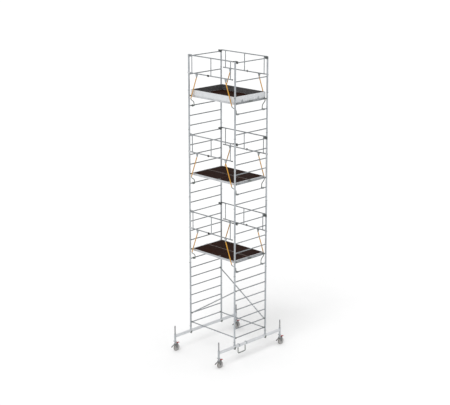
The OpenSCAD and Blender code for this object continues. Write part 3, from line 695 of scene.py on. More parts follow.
looks = {
    "tube": {
        "metallic": 0.9, "across": 700.0, "along": 5.0, "oxideScale": 9.0, "oxide": 0.55, "rough": 0.24,
        "depth": 0.00012, "darkTube": colour(168, 172, 176), "lightTube": colour(186, 190, 193),
        "oxideColour": colour(150, 154, 158),
    },
    # rungs: a darker copy of the post aluminium, the shade that level tubes show painted into the colour as
    # painted shade
    "rung": {
        "metallic": 0.9, "across": 500.0, "along": 5.0, "oxideScale": 12.0, "oxide": 0.6, "rough": 0.32,
        "depth": 0.00012, "darkTube": colour(136, 140, 143), "lightTube": colour(154, 158, 161),
        "oxideColour": colour(118, 122, 125),
    },
    # guard rails and braces: a darker copy of the post aluminium, the shade of level and slanting tubes
    # painted in as painted shade
    "rail": {
        "metallic": 0.9, "across": 600.0, "along": 5.0, "oxideScale": 8.0, "oxide": 0.55, "rough": 0.28,
        "depth": 0.00012, "darkTube": colour(144, 148, 151), "lightTube": colour(160, 164, 167),
        "oxideColour": colour(126, 130, 133),
    },
    # the toe boards' inner faces: a dark copy of the board aluminium, painted shade for the sides that face
    # the platform
    "toe": {
        "metallic": 0.6, "across": 420.0, "along": 3.0, "oxideScale": 4.0, "oxide": 0.5, "rough": 0.50,
        "depth": 0.00012, "darkTube": colour(92, 90, 91), "lightTube": colour(100, 98, 99),
        "oxideColour": colour(82, 80, 81),
    },
    "frame": {
        "metallic": 0.9, "across": 500.0, "along": 4.0, "oxideScale": 7.0, "oxide": 0.6, "rough": 0.28,
        "depth": 0.00012, "darkTube": colour(188, 190, 193), "lightTube": colour(204, 206, 208),
        "oxideColour": colour(170, 172, 176),
    },
    "board": {
        "metallic": 0.5, "across": 420.0, "along": 3.0, "oxideScale": 5.0, "oxide": 0.4, "rough": 0.42,
        "depth": 0.00012, "darkTube": colour(204, 206, 208), "lightTube": colour(212, 214, 216),
        "oxideColour": colour(194, 196, 199),
    },
    "weld": {
        "metallic": 0.9, "across": 300.0, "along": 60.0, "oxideScale": 60.0, "oxide": 0.8, "rough": 0.34,
        "depth": 0.00025, "darkTube": colour(168, 171, 175), "lightTube": colour(192, 195, 198),
        "oxideColour": colour(140, 143, 148),
    },
    "galvanised": {
        "metallic": 0.85, "crystalScale": 260.0, "rough": 0.38, "dark": colour(104, 111, 106),
        "light": colour(130, 136, 131), "film": colour(92, 98, 93),
    },
    "fork": {
        "metallic": 0.85, "crystalScale": 240.0, "rough": 0.36, "dark": colour(112, 112, 112),
        "light": colour(140, 140, 140), "film": colour(98, 97, 96),
    },
    "zinc": {
        "metallic": 0.9, "crystalScale": 150.0, "rough": 0.30, "dark": colour(150, 154, 156),
        "light": colour(184, 188, 190), "film": colour(134, 138, 140),
    },
    "spindle": {"bar": colour(178, 180, 182), "grease": colour(62, 58, 52)},
    "deck": {
        "meshPitch": 0.006, "dark": colour(30, 12, 6), "light": colour(44, 20, 10), "wire": colour(20, 9, 5),
        "worn": colour(56, 32, 20), "scratch": colour(78, 56, 42),
    },
    "plyEdge": {
        "veneer": 0.0013, "paleVeneer": colour(126, 92, 62), "darkVeneer": colour(74, 50, 34),
        "sealer": colour(52, 35, 25),
    },
    "ochre": {
        "peelScale": 700.0, "chipScale": 55.0, "rough": 0.34, "dark": colour(182, 128, 16),
        "light": colour(202, 146, 28), "under": colour(168, 170, 168),
    },
    "seam": {
        "peelScale": 500.0, "chipScale": 40.0, "rough": 0.55, "dark": colour(44, 24, 16),
        "light": colour(58, 36, 26), "under": colour(132, 130, 128),
    },
    "black": {
        "specular": 0.3, "grainScale": 1400.0, "grainDepth": 0.0001, "scuffScale": 24.0, "scuff": 0.35,
        "rough": 0.42, "base": colour(14, 14, 15), "scuffed": colour(58, 60, 62),
        "dirt": colour(100, 96, 88),
    },
    "greyCap": {
        "specular": 0.45, "grainScale": 1400.0, "grainDepth": 0.0001, "scuffScale": 24.0, "scuff": 0.4,
        "rough": 0.42, "base": colour(66, 70, 70), "scuffed": colour(112, 116, 116),
        "dirt": colour(100, 98, 92),
    },
    # a pale copy of the grey cap plastic: painted light for the lit outer side of the caps and claws
    "paleCapPaintedLight": {
        "specular": 0.45, "grainScale": 1400.0, "grainDepth": 0.0001, "scuffScale": 24.0, "scuff": 0.4,
        "rough": 0.40, "base": colour(176, 178, 180), "scuffed": colour(206, 207, 208),
        "dirt": colour(120, 116, 106),
    },
    "wheel": {
        "specular": 0.5, "grainScale": 900.0, "grainDepth": 0.0001, "scuffScale": 18.0, "scuff": 0.6,
        "rough": 0.45, "base": colour(170, 168, 167), "scuffed": colour(158, 158, 153),
        "dirt": colour(96, 92, 84),
    },
    "pedal": {
        "specular": 0.5, "grainScale": 1100.0, "grainDepth": 0.0001, "scuffScale": 30.0, "scuff": 0.35,
        "rough": 0.36, "base": colour(150, 26, 36), "scuffed": colour(196, 84, 84),
        "dirt": colour(84, 26, 28),
    },
}
tubeMetal = aluminiumMaterial("tubeAluminium", looks["tube"])
# painted shade: rungs and rails are darker copies of the post aluminium
rungPaintedShadeMetal = aluminiumMaterial("rungPaintedShadeAluminium", looks["rung"])
railPaintedShadeMetal = aluminiumMaterial("railPaintedShadeAluminium", looks["rail"])
# painted shade: the dark copy of the board aluminium for the toe boards' inner faces
toeInsidePaintedShade = aluminiumMaterial("toeBoardInsidePaintedShade", looks["toe"])
frameMetal = aluminiumMaterial("deckAluminium", looks["frame"])
boardMetal = aluminiumMaterial("ribbedAluminium", looks["board"])
weldMetal = aluminiumMaterial("weldBeads", looks["weld"])
clawSteel = galvanisedMaterial("galvanisedSteel", looks["galvanised"])
forkSteel = galvanisedMaterial("forkSteel", looks["fork"])
zincSteel = galvanisedMaterial("zincPlatedSteel", looks["zinc"])
spindleSteel = spindleMaterial("greasedSpindle", looks["spindle"])
deckFilm = deckFilmMaterial("phenolicFilm", looks["deck"])
seamFilm = paintMaterial("seamPaint", looks["seam"])
plyEdge = plyEdgeMaterial("plywoodEdge", looks["plyEdge"])
ochrePaint = paintMaterial("ochrePaint", looks["ochre"])
blackPlastic = plasticMaterial("blackPlastic", looks["black"])
greyPlastic = plasticMaterial("greyPlastic", looks["greyCap"])
palePaintedLightPlastic = plasticMaterial("palePaintedLightPlastic", looks["paleCapPaintedLight"])
wheelPlastic = plasticMaterial("wheelPolyamide", looks["wheel"])
pedalPlastic = plasticMaterial("pedalPlastic", looks["pedal"])
print("materials made")


# ---------- end frames ----------

ladder = {"rungRibs": 20, "ribDepth": 0.0006, "postEdge": 0.0012, "bore": 0.080, "intoPost": 0.003}


def ladderPost(low, high, openTop=False):
    # one post between two joints; at the top of the tower the end of the tube is open
    edge = ladder["postEdge"]
    small = postRadius - edge
    profile = [(small, low), (postRadius, low + edge), (postRadius, high - edge), (small, high)]
    if openTop:
        bore = postRadius - tower["tubeWall"]
        profile += [(bore, high), (bore, high - ladder["bore"])]
    return turnedShape(profile, (endX, postY, 0), "z", 40)


def ladderRung(height):
    # a ribbed tube welded between the two posts of one end, in a darker copy of the post aluminium that holds
    # painted shade
    reach = postY - postRadius + ladder["intoPost"]
    section = ribbedCircle(rungRadius, ladder["rungRibs"], ladder["ribDepth"])
    tube = bar((endX, -reach, height), (endX, reach, height), section, zAxis, mat=2)
    bead = weldBead((endX, postY, height), -yAxis, zAxis, rungRadius, postRadius, mat=1)
    return [tube] + bothSides([bead])


def ladderFrames():
    rung = 1
    for tier, count in enumerate(tower["tierRungs"], start=1):
        shells = bothSides([ladderPost(jointHeights[tier - 1], jointHeights[tier])])
        for number in range(rung, rung + count):
            shells += ladderRung(rungHeight(number))
        rung += count
        node = f"ladder_frames_tier_{tier}"
        materials = (tubeMetal, weldMetal, rungPaintedShadeMetal)
        makePiece(f"{node}_tubes", bothEnds(shells), materials, "tower", (node,))


def endGuards():
    low, high = corners("end_guard_frames")
    topRung = rungHeight(tower["deckRungs"][-1] + tower["guardRungs"])
    lowRung = topRung - tower["guardRungGap"]
    shells = bothSides([ladderPost(low[2], high[2], openTop=True)])
    shells += ladderRung(lowRung) + ladderRung(topRung)
    name = "end_guard_frames"
    materials = (tubeMetal, weldMetal, rungPaintedShadeMetal)
    makePiece(f"{name}_tubes", bothEnds(shells), materials, "tower", (name,))


clip = {
    "rise": 0.030, "pin": 0.0045, "neck": 0.0036, "head": 0.0052, "tip": 0.0025, "wire": 0.0025,
    "headOut": 0.024, "inside": 0.010,
}


def springClips():
    # a pin through each joint, held by a wire ring that springs round the post
    ring = postRadius + seatGap + clip["wire"]
    loop = np.pad(arc((0, 0), ring, 95, 445, 48), ((0, 0), (0, 1)))
    start, end = -postRadius - clip["headOut"], -postRadius + clip["inside"]
    profile = (
        (clip["tip"], start), (clip["head"], start + 0.0012), (clip["head"], start + 0.004),
        (clip["neck"], start + 0.005), (clip["neck"], start + 0.007), (clip["pin"], start + 0.008),
        (clip["pin"], end),
    )
    drawn = turnedShape([(r, -h) for r, h in profile[::-1]], layout="y", count=16)
    wire = sweep(loop, circle(clip["wire"], 8), zAxis)
    shells = []
    for height in jointHeights:
        place = (endX, postY, height + clip["rise"])
        shells += [moved(flipped(drawn, (1, -1, 1)), place), moved(wire, place)]
    pins = allFour(shells)
    makePiece("spring_clip_pins", pins, (clawSteel,), "tower", ("spring_clips",))


spigot = {"reach": 0.075, "radius": 0.0225, "wall": 0.003, "edge": 0.001}


def spigotTubes():
    # the tubes inside the joints; they are out of sight but stay part of the tower
    shells = []
    for height in jointHeights:
        low, high = height - spigot["reach"], height + spigot["reach"]
        outer, edge = spigot["radius"], spigot["edge"]
        inner = outer - spigot["wall"]
        profile = (
            (outer - edge, low), (outer, low + edge), (outer, high - edge), (outer - edge, high),
            (inner, high), (inner, low),
        )
        shells.append(turnedShape(profile, (endX, postY, 0), "z", 28, loop=True))
    makePiece("joint_spigots", allFour(shells), (tubeMetal,), "tower", ("spigots",))


# ---------- base ----------

base = {
    "beamWidth": 0.050, "beamHeight": 0.077, "corner": 0.004, "groove": 0.0012, "grooveWidth": 0.012,
    "grooves": (-0.020, 0.0, 0.020), "sleeveRadius": 0.028, "bore": 0.0192, "drop": 0.260,
    "clampWidth": 0.054, "plate": 0.005, "wedge": 0.042, "wedgeTip": 0.007, "footPlate": 0.006,
}
beamLow, beamHigh = corners("base_beam_right")
castorY = beamHigh[1] - base["sleeveRadius"]
beamZ = firstRung - base["drop"]
beamTop = beamZ + base["beamHeight"] / 2


def baseBeams():
    sizes = ("beamWidth", "beamHeight", "corner", "grooves", "groove", "grooveWidth")
    section = groovedBox(*(base[key] for key in sizes))
    # the ends follow the round sleeves: the beam stops at the circle's edge over every point of its width
    cope = castorY - np.sqrt((base["sleeveRadius"] - 0.002)**2 - section[:, 0]**2)
    grid = np.stack([
        np.stack([endX - section[:, 0], sign * cope, beamZ + section[:, 1]], axis=1) for sign in (-1, 1)
    ])
    beam = gridShell(grid)
    outer, bore = base["sleeveRadius"], base["bore"]
    low, high = beamLow[2], beamHigh[2]
    profile = (
        (outer - 0.0015, low), (outer, low + 0.0015), (outer, high - 0.0015), (outer - 0.0015, high),
        (bore, high), (bore, low),
    )
    sleeve = turnedShape(profile, (endX, castorY, 0), "z", 40, loop=True, mat=2)
    outline = box2d(base["beamWidth"] - 0.001, base["beamHeight"], base["corner"], 6)
    normal = outline - inset(outline, 1.0)
    line = np.stack([
        endX + outline[:, 0], castorY - np.sqrt(outer**2 - outline[:, 0]**2), beamZ + outline[:, 1]
    ], axis=1)
    radial = np.stack([normal[:, 0], 0 * normal[:, 0], normal[:, 1]], axis=1)
    bead = beadAlong(line, radial, yAxis, 0.0022, 12, mat=1)
    shells = [beam] + bothSides([sleeve, bead])
    for side, sign in (("right", 1), ("left", -1)):
        node = f"base_beam_{side}"
        own = [flipped(shell, (sign, 1, 1)) for shell in shells]
        materials = (boardMetal, weldMetal, tubeMetal)
        makePiece(f"{node}_profile", own, materials, "tower", (node,))


def beamClamps():
    half, t = base["clampWidth"] / 2, base["plate"]
    inner = base["beamWidth"] / 2 + seatGap
    outer = inner + t
    low = beamZ - base["beamHeight"] / 2 - seatGap
    place = (endX, postY, 0)
    shells = []
    for x in (-outer, inner):
        shells.append(block((x, -half, low), (x + t, half, beamZ), 0.002, 0.0008, "x"))
    shells.append(block((-outer, -half, low - t), (outer, half, low), 0.001, 0.0008, "x"))
    tip, tipZ = base["wedgeTip"], low - base["wedge"] + 0.001
    wedge = [(-half, low - t), (-tip, tipZ), (tip, tipZ), (half, low - t)]
    for x in (-outer, -0.0025, outer - t):
        shells.append(plate(wedge, x, x + t, "x"))
    shells.append(pin(0.005, -outer, outer, (0, 0, low - 0.021), "x", 0.0006, 16))
    for y in (-0.014, 0.014):
        for sign in (1, -1):
            bolt = hexHead(0.0065, outer, outer + 0.004, (0, y, beamZ - 0.020), "x")
            washer = pin(0.0078, outer, outer + 0.0012, (0, y, beamZ - 0.020), "x", 0.0003, 20)
            shells += [flipped(part, (sign, 1, 1)) for part in (bolt, washer)]
    z = beamTop + seatGap
    foot = block((-outer, -half, z), (outer, half, z + base["footPlate"]), 0.003, 0.0008, mat=1)
    tube = turnedShape((
        (postRadius, z + base["footPlate"] - 0.001), (postRadius, jointHeights[0] - 0.0012),
        (postRadius - 0.0012, jointHeights[0]),
    ), (0, 0, 0), "z", 40, mat=1)
    turn = np.linspace(0, 2 * pi, 40, endpoint=False)
    radial = np.stack([np.cos(turn), np.sin(turn), 0 * turn], axis=1)
    line = postRadius * radial + np.array([0, 0, z + base["footPlate"]])
    shells += [foot, tube, beadAlong(line, radial, -zAxis, 0.0022, 20, mat=2)]
    shells = [moved(shell, place) for shell in shells]
    materials = (clawSteel, tubeMetal, weldMetal)
    makePiece("beam_clamp_plates", allFour(shells), materials, "tower", ("beam_clamps",))


step = {
    "radius": 0.0135, "bend": 0.030, "near": -0.448, "far": -0.158, "tread": 0.210, "clampWidth": 0.036,
    "clamp": 0.005, "flange": 0.068,
}


def accessStep():
    # a bent bar behind the right beam, hung from two clamps that lie over the beam
    radius, t = step["radius"], step["clamp"]
    x = endX - base["beamWidth"] / 2 - seatGap - radius
    near, far, treadZ = step["near"], step["far"], step["tread"]
    points = [(x, near, beamTop), (x, near, treadZ), (x, far, treadZ), (x, far, beamTop)]
    tube = circle(radius, 24)
    shells = [sweep(roundedPath(points, step["bend"], 12), tube, xAxis)]
    grip = ribbedCircle(radius + 0.0012, 16, 0.0012)
    shells.append(bar((x, near + 0.055, treadZ), (x, far - 0.055, treadZ), grip, zAxis))
    inner = endX + base["beamWidth"] / 2 + seatGap
    low = beamTop + seatGap
    for y in (near, far):
        start, end = y - step["clampWidth"] / 2, y + step["clampWidth"] / 2
        foot, top = (inner, start, low - step["flange"]), (inner + t, end, low + 0.002)
        radial = np.pad(circle(1, 24), ((0, 0), (0, 1)))
        line = np.array([x, y, low - 0.0005]) + radius * radial
        shells += [
            block((x - radius, start, low), (inner + t, end, low + t), 0.001, 0.0008, "y", mat=1),
            block(foot, top, 0.006, 0.0008, "x", mat=1),
            hexHead(0.007, low + t, low + t + 0.005, (endX, y, 0), "z", mat=1),
            hexHead(0.0065, inner + t, inner + t + 0.0045, (0, y, low - 0.030), "x", mat=1),
            beadAlong(line, radial, zAxis, 0.0018, 12, mat=2),
        ]
    materials = (clawSteel, zincSteel, weldMetal)
    makePiece("access_step_bar", shells, materials, "tower", ("access_step",))


brace = {"radius": 0.016, "clawThickness": 0.008, "clawWidth": 0.030}
braceY = postY - postRadius - 0.020


def braceTube(zLeft, zRight, y):
    # a straight tube whose ends stop at the claws, with a pressed collar near each end
    gap = rungRadius + seatGap + brace["clawThickness"] - 0.0015
    left, right = np.array([-endX, y, zLeft]), np.array([endX, y, zRight])
    run = (right - left) / np.linalg.norm(right - left)
    start, end = left + gap * run, right - gap * run
    ring = circle(brace["radius"] + 0.0012, 28)
    return [
        bar(start, end, circle(brace["radius"], 28), yAxis, 0.0015),
        bar(start + 0.012 * run, start + 0.026 * run, ring, yAxis, 0.0006, mat=1),
        bar(end - 0.026 * run, end - 0.012 * run, ring, yAxis, 0.0006, mat=1),
    ]


def braces():
    flat = bothSides(braceTube(rungHeight(1), rungHeight(1), braceY))
    slanting = halfTurned(braceTube(rungHeight(2), rungHeight(6), -braceY))
    for kind, shells in (("horizontal", flat), ("diagonal", slanting)):
        name, node = f"{kind}_brace_tubes", f"{kind}_braces"
        makePiece(name, shells, (railPaintedShadeMetal, clawSteel), "tower", (node,))


def braceClaw(x, y, number):
    # a hook over the rung, with a spring latch below and its rivet
    inner = rungRadius + seatGap
    half = brace["clawWidth"] / 2
    hook = plate(hookOutline(inner, brace["clawThickness"]), -half, half, "y", bevel=0.001)
    back = -np.sign(x) * (inner + 0.004)
    rivet = pin(0.0032, -half - 0.0012, half + 0.0012, (back, 0, 0.001), "y", 0.0006, 14)
    low, high = (-0.004, -half + 0.002, inner + 0.006), (0.004, half - 0.002, inner + 0.0079)
    rib = block(low, high, 0.001, 0.0006, "y")
    return [moved(shell, (x, y, rungHeight(number))) for shell in (hook, rivet, rib)]


def braceClaws():
    shells = []
    for x in (-endX, endX):
        for y in (-braceY, braceY):
            shells += braceClaw(x, y, 1)
    shells += halfTurned(braceClaw(-endX, -braceY, 2) + braceClaw(endX, -braceY, 6))
    makePiece("brace_claw_hooks", shells, (clawSteel,), "tower", ("brace_claws",))


# ---------- platforms ----------

deck = {
    "rise": 0.040, "height": 0.058, "railWidth": 0.015, "endRail": 0.030, "cross": 0.025, "ply": 0.012,
    "seam": 0.002, "clawThickness": 0.008, "clawWidth": 0.036, "clawInset": 0.030, "catchWidth": 0.020,
    "hatchX": 0.110, "hatchY": 0.065, "hatchLength": 0.620, "leafGap": 0.003, "hingeInset": 0.110,
    "hingeLift": 0.008, "hingeRadius": 0.007, "knuckle": 0.015, "ear": 0.010, "strapLength": 0.070,
    "strap": 0.003,
    "rivet": 0.0042, "rivetPitch": 0.150,
}
deckHalf = postY - postRadius - 0.005
deckEnd = endX - 0.050
hingeY = deckHalf - deck["railWidth"] - 0.002
hatchEnd = deck["hatchX"] + deck["hatchLength"]
hingePlaces = [deck["hatchX"] + deck["hingeInset"], hatchEnd - deck["hingeInset"]]


def rivets(spots, radius, top, **options):
    # low domed heads at many places on a level face
    profile = ((radius, -0.0004), (radius, 0.0002), (0.72 * radius, 0.0009), (0.3 * radius, 0.0012))
    return copied(turnedShape(profile, (0, 0, top), "z", 10, **options), spots)


def rungHook(y, width, thickness, height):
    # a hook riveted to the end rail and lying over the rung
    inner = rungRadius + seatGap
    outline = hookOutline(inner, thickness, deckEnd - endX + 0.0001, deck["rise"] - deck["height"] + 0.004)
    hook = plate(outline, -width / 2, width / 2, "y", bevel=0.001, mat=1)
    return moved(hook, (endX, y, height - deck["rise"]))


def deckFrame(height, hatch):
    # the frame of the deck that lies between y = 0 and the posts, seen from the seam outwards
    w, h = deck["railWidth"], deck["height"]
    section = groovedBox(w, h, 0.0015, (-0.018, -0.006, 0.006, 0.018), 0.0010, 0.007)
    z = height - h / 2
    seamRail, sideRail = (
        bar((-deckEnd, y, z), (deckEnd, y, z), section, zAxis, 0.001)
        for y in (deck["seam"] / 2 + w / 2, deckHalf - w / 2)
    )
    shells = [facing(seamRail, zAxis, 2), sideRail]
    inner, outer = deck["seam"] / 2 + w, deckHalf - w
    bay = 2 * deckEnd / 5
    if hatch:
        supports = [-1.3 * bay, -0.4 * bay, deck["hatchX"], hatchEnd]
    else:
        supports = [-1.5 * bay, -0.5 * bay, 0.5 * bay, 1.5 * bay]
    c, top = deck["cross"], height - deck["ply"]
    members = [(x, x + deck["endRail"], height - h, height) for x in (-deckEnd, deckEnd - deck["endRail"])]
    members += [(x - c / 2, x + c / 2, top - c, top) for x in supports]
    for x0, x1, z0, z1 in members:
        shells.append(block((x0, inner, z0), (x1, outer, z1), 0.0015, 0.0008, "y"))
    for y in (deck["seam"] / 2 + deck["clawInset"], deckHalf - deck["clawInset"]):
        shells += bothEnds([rungHook(y, deck["clawWidth"], deck["clawThickness"], height)])
    if hatch:
        for x in hingePlaces:
            shells += hingeEars(x, height)
    return shells


def hingeEars(x, height):
    # the pin of a hatch hinge and the two ears that hold it on the side rail
    z = height + deck["hingeLift"]
    inner = deck["knuckle"] + 0.001
    outer = inner + deck["ear"]
    shells = [pin(0.004, x - outer, x + outer, (0, hingeY, z), "x", 0.0008, 16, mat=1)]
    for low in (x - outer, x + inner):
        high = low + deck["ear"]
        shells.append(pin(deck["hingeRadius"], low, high, (0, hingeY, z), "x", 0.0008, 20, mat=1))
        shells.append(block((low, hingeY, height), (high, hingeY + 0.009, z), 0.001, 0.0006, "x", mat=1))
    return shells


def deckFrames():
    for level, height in zip(levels, deckHeights):
        shells = deckFrame(height, False)
        shells += [flipped(shell, (1, -1, 1)) for shell in deckFrame(height, True)]
        shells += bothEnds([rungHook(0, deck["catchWidth"], deck["clawThickness"] - 0.002, height)])
        node = f"deck_frames_level_{level}"
        materials = (frameMetal, clawSteel, seamFilm)
        makePiece(f"{node}_profiles", shells, materials, "tower", (node,))


def deckBoard(height, hatch):
    # one plywood board, cut away for the hatch where there is one
    inner = deck["seam"] / 2 + deck["railWidth"] + seatGap
    outer = deckHalf - deck["railWidth"] - seatGap
    end = deckEnd - deck["endRail"] - seatGap
    outline = [(-end, inner), (end, inner), (end, outer)]
    if hatch:
        x0, x1 = deck["hatchX"], hatchEnd
        y0 = deck["hatchY"] - seatGap
        outline += [(x1, outer), (x1, y0), (x0, y0), (x0, outer)]
    outline.append((-end, outer))
    board = plate(outline, height - deck["ply"], height, "z", bevel=0.0006, mat=0, capMat=1)
    across = np.arange(-end + 0.030, end, deck["rivetPitch"])
    spots = [(x, inner + 0.012, 0) for x in across]
    spots += [(x, outer - 0.012, 0) for x in across if not hatch or not x0 - 0.01 < x < x1 + 0.01]
    for x in (-end + 0.012, end - 0.012):
        spots += [(x, y, 0) for y in np.linspace(inner + 0.10, outer - 0.10, 3)]
    return [board], rivets(spots, deck["rivet"], height)


def deckPanels():
    for level, height in zip(levels, deckHeights):
        plain, plainRivets = deckBoard(height, False)
        cut, cutRivets = deckBoard(height, True)
        boards = plain + [flipped(shell, (1, -1, 1)) for shell in cut]
        node = f"deck_panels_level_{level}"
        makePiece(f"{node}_plywood", boards, (plyEdge, deckFilm), "tower", (node,))
        heads = [plainRivets, flipped(cutRivets, (1, -1, 1))]
        makePiece(f"deck_rivets_level_{level}", heads, (zincSteel,), "tower")


def hatchLeaves():
    # the leaf with its rounded corners, finger hole with a plastic rim, hinge straps and bolts
    gap = deck["leafGap"]
    x0, x1 = deck["hatchX"] + gap, hatchEnd - gap
    y0, y1 = deck["hatchY"] + gap, hingeY - 0.001
    middle = ((x0 + x1) / 2, (y0 + y1) / 2)
    outline = box2d(x1 - x0, y1 - y0, 0.012, 6, middle)
    for level, height in zip(levels, deckHeights):
        leaf = plate(outline, height - deck["ply"] + seatGap, height, "z", bevel=0.0006, mat=0, capMat=1)
        rim = box2d(0.110, 0.040, 0.0195, 8, (middle[0], y0 + 0.055))
        sections = (rim, inset(rim, 0.001), inset(rim, 0.006), inset(rim, 0.0075))
        grip = stack(sections, (height - 0.0002, height + 0.0016, height + 0.0016, height + 0.0004), mat=2)
        hardware, heads = [], []
        for x in hingePlaces:
            k, z = deck["knuckle"], height + deck["hingeLift"]
            start, end, top = hingeY - deck["strapLength"], hingeY - 0.002, height + deck["strap"]
            hardware += [
                block((x - k, start, height), (x + k, end, top), 0.004, 0.0006),
                block((x - k, hingeY - 0.006, height), (x + k, hingeY - 0.001, z), 0.001, 0.0006, "x"),
                pin(deck["hingeRadius"], x - k, x + k, (0, hingeY, z), "x", 0.0008, 20),
            ]
            heads += [(x + dx, start + dy, 0) for dx in (-0.008, 0.008) for dy in (0.012, 0.038)]
        hardware.append(rivets(heads, 0.0038, height + deck["strap"]))
        border = [(x, y0 + 0.014, 0) for x in np.linspace(x0 + 0.05, x1 - 0.05, 4)]
        hardware.append(rivets(border, deck["rivet"], height))
        # the turn latch that keeps the leaf shut
        x, y = middle[0], y0 + 0.018
        low, high = (x - 0.009, y - 0.004, height + 0.0036), (x + 0.009, y + 0.004, height + 0.0066)
        hardware.append(pin(0.011, height - 0.0002, height + 0.004, (x, y, 0), "z", 0.001, 24))
        hardware.append(block(low, high, 0.003, 0.0008))
        body = f"hatch_level_{level}"
        mirror = (1, -1, 1)
        wood = [flipped(shell, mirror) for shell in (leaf, grip)]
        makePiece(f"{body}_leaf", wood, (plyEdge, deckFilm, blackPlastic), body, (body,))
        metal = [flipped(shell, mirror) for shell in hardware]
        makePiece(f"{body}_hinges", metal, (zincSteel,), body)


toe = {"thickness": 0.022, "height": 0.150, "clip": 0.010, "clipWidth": 0.040}


def toeBoards():
    t, h = toe["thickness"], toe["height"]
    bottom = corners("toe_boards")[1][2] - h
    grooves = (-0.058, -0.042, -0.014, 0.0, 0.014, 0.042, 0.058)
    section = groovedBox(t, h, 0.003, grooves, 0.0016, 0.008)
    z = bottom + h / 2
    longY = deckHalf - 0.006
    y = longY + t / 2
    long = bar((-deckEnd + 0.005, y, z), (deckEnd - 0.005, y, z), section, zAxis, 0.001)
    # the long boards' faces towards the platform take the dark aluminium as painted shade
    shells = bothSides([facing(long, -yAxis, 2)])
    boardX = deckEnd - 0.012
    reach = longY - 0.002
    x = boardX + t / 2
    # the end board's face towards the platform also takes the painted shade
    end = [facing(bar((x, -reach, z), (x, reach, z), section, zAxis, 0.001), -xAxis, 2)]
    clipX = boardX + t + 0.0001
    faceX, half, middle = clipX + toe["clip"], toe["clipWidth"] / 2, postY / 2
    low, high = (clipX, middle - half, bottom - 0.004), (faceX, middle + half, bottom - 0.004 + 0.4 * h)
    bracket = block(low, high, 0.003, 0.001, "x", mat=1)
    bolt = hexHead(0.006, faceX, faceX + 0.004, (0, middle, bottom + 0.030), "x", mat=1)
    end += bothSides([bracket, bolt])
    shells += bothEnds(end)
    # the heads of the bolts that join the long boards to the end boards
    for rise in (0.035, 0.115):
        place = (0, longY + t / 2, bottom + rise)
        shells += allFour([pin(0.005, boardX + 0.004, boardX + 0.008, place, "x", 0.0008, 14, mat=1)])
    materials = (boardMetal, zincSteel, toeInsidePaintedShade)
    makePiece("toe_board_profiles", shells, materials, "tower", ("toe_boards",))


# ---------- guard rails ----------

guard = {
    "uprightRadius": 0.013, "uprightX": 0.750, "topEnd": 0.055, "lowEnd": 0.080, "forkPlate": 0.004,
    "forkHalf": 0.045, "forkTip": 0.014, "eye": 0.014, "pivotX": 0.335, "pivotDrop": 0.095,
    "capLength": 0.014, "capHalf": 0.014, "clawWidth": 0.036, "knobX": 0.090, "knobRadius": 0.032,
}
pivotX = endX - guard["pivotX"]
frameReach = corners("guard_fittings")[1][0]


def guardFrame(level):
    # one guard frame in the plane y = 0: two rails, three uprights, and a fork under each end
    top = topRails[level - 1]
    low = top - tower["railGap"]
    topEnd, lowEnd = endX - guard["topEnd"], endX - guard["lowEnd"]
    rail = circle(railRadius, 32)
    shells = [
        bar((-topEnd, 0, top), (topEnd, 0, top), rail, zAxis, 0.001),
        bar((-lowEnd, 0, low), (lowEnd, 0, low), rail, zAxis, 0.001),
    ]
    upright = circle(guard["uprightRadius"], 24)
    into = railRadius - 0.003
    for x in (-guard["uprightX"], 0, guard["uprightX"]):
        shells.append(bar((x, 0, low + into), (x, 0, top - into), upright, xAxis))
        shells.append(weldBead((x, 0, low), zAxis, xAxis, guard["uprightRadius"], railRadius, 0.002, mat=1))
        shells.append(weldBead((x, 0, top), -zAxis, xAxis, guard["uprightRadius"], railRadius, 0.002, mat=1))
    return shells + bothEnds(strutFork(low))


def strutFork(low):
    # two tapered plates welded under the low rail, with the bolt on which a strut turns
    inner = guard["eye"] / 2 + 0.0002
    outer = inner + guard["forkPlate"]
    tip = guard["forkTip"]
    lean = np.degrees(atan2(guard["forkHalf"] - tip, guard["pivotDrop"]))
    start = -(railRadius**2 - inner**2)**0.5 + 0.001
    outline = np.concatenate([
        [(-guard["forkHalf"] + 0.004, start)],
        arc((0, -guard["pivotDrop"]), tip, 180 + lean, 360 - lean, 14),
        [(guard["forkHalf"] - 0.004, start)],
    ])
    pivot = (pivotX, 0, low - guard["pivotDrop"])
    shells = [
        moved(plate(outline, y, y + guard["forkPlate"], "y", mat=2), (pivotX, 0, low))
        for y in (-outer, inner)
    ]
    shells.append(pin(0.005, -inner - 0.001, inner + 0.001, pivot, "y", 0.0004, 18, mat=2))
    return shells + bothSides([hexHead(0.0088, outer, outer + 0.005, pivot, "y", mat=2)])


def guardFrames():
    for level in levels:
        shells = halfTurned([moved(shell, (0, -guardY, 0)) for shell in guardFrame(level)])
        node = f"guard_frames_level_{level}"
        materials = (railPaintedShadeMetal, weldMetal, zincSteel)
        makePiece(f"{node}_rails", shells, materials, "tower", (node,))


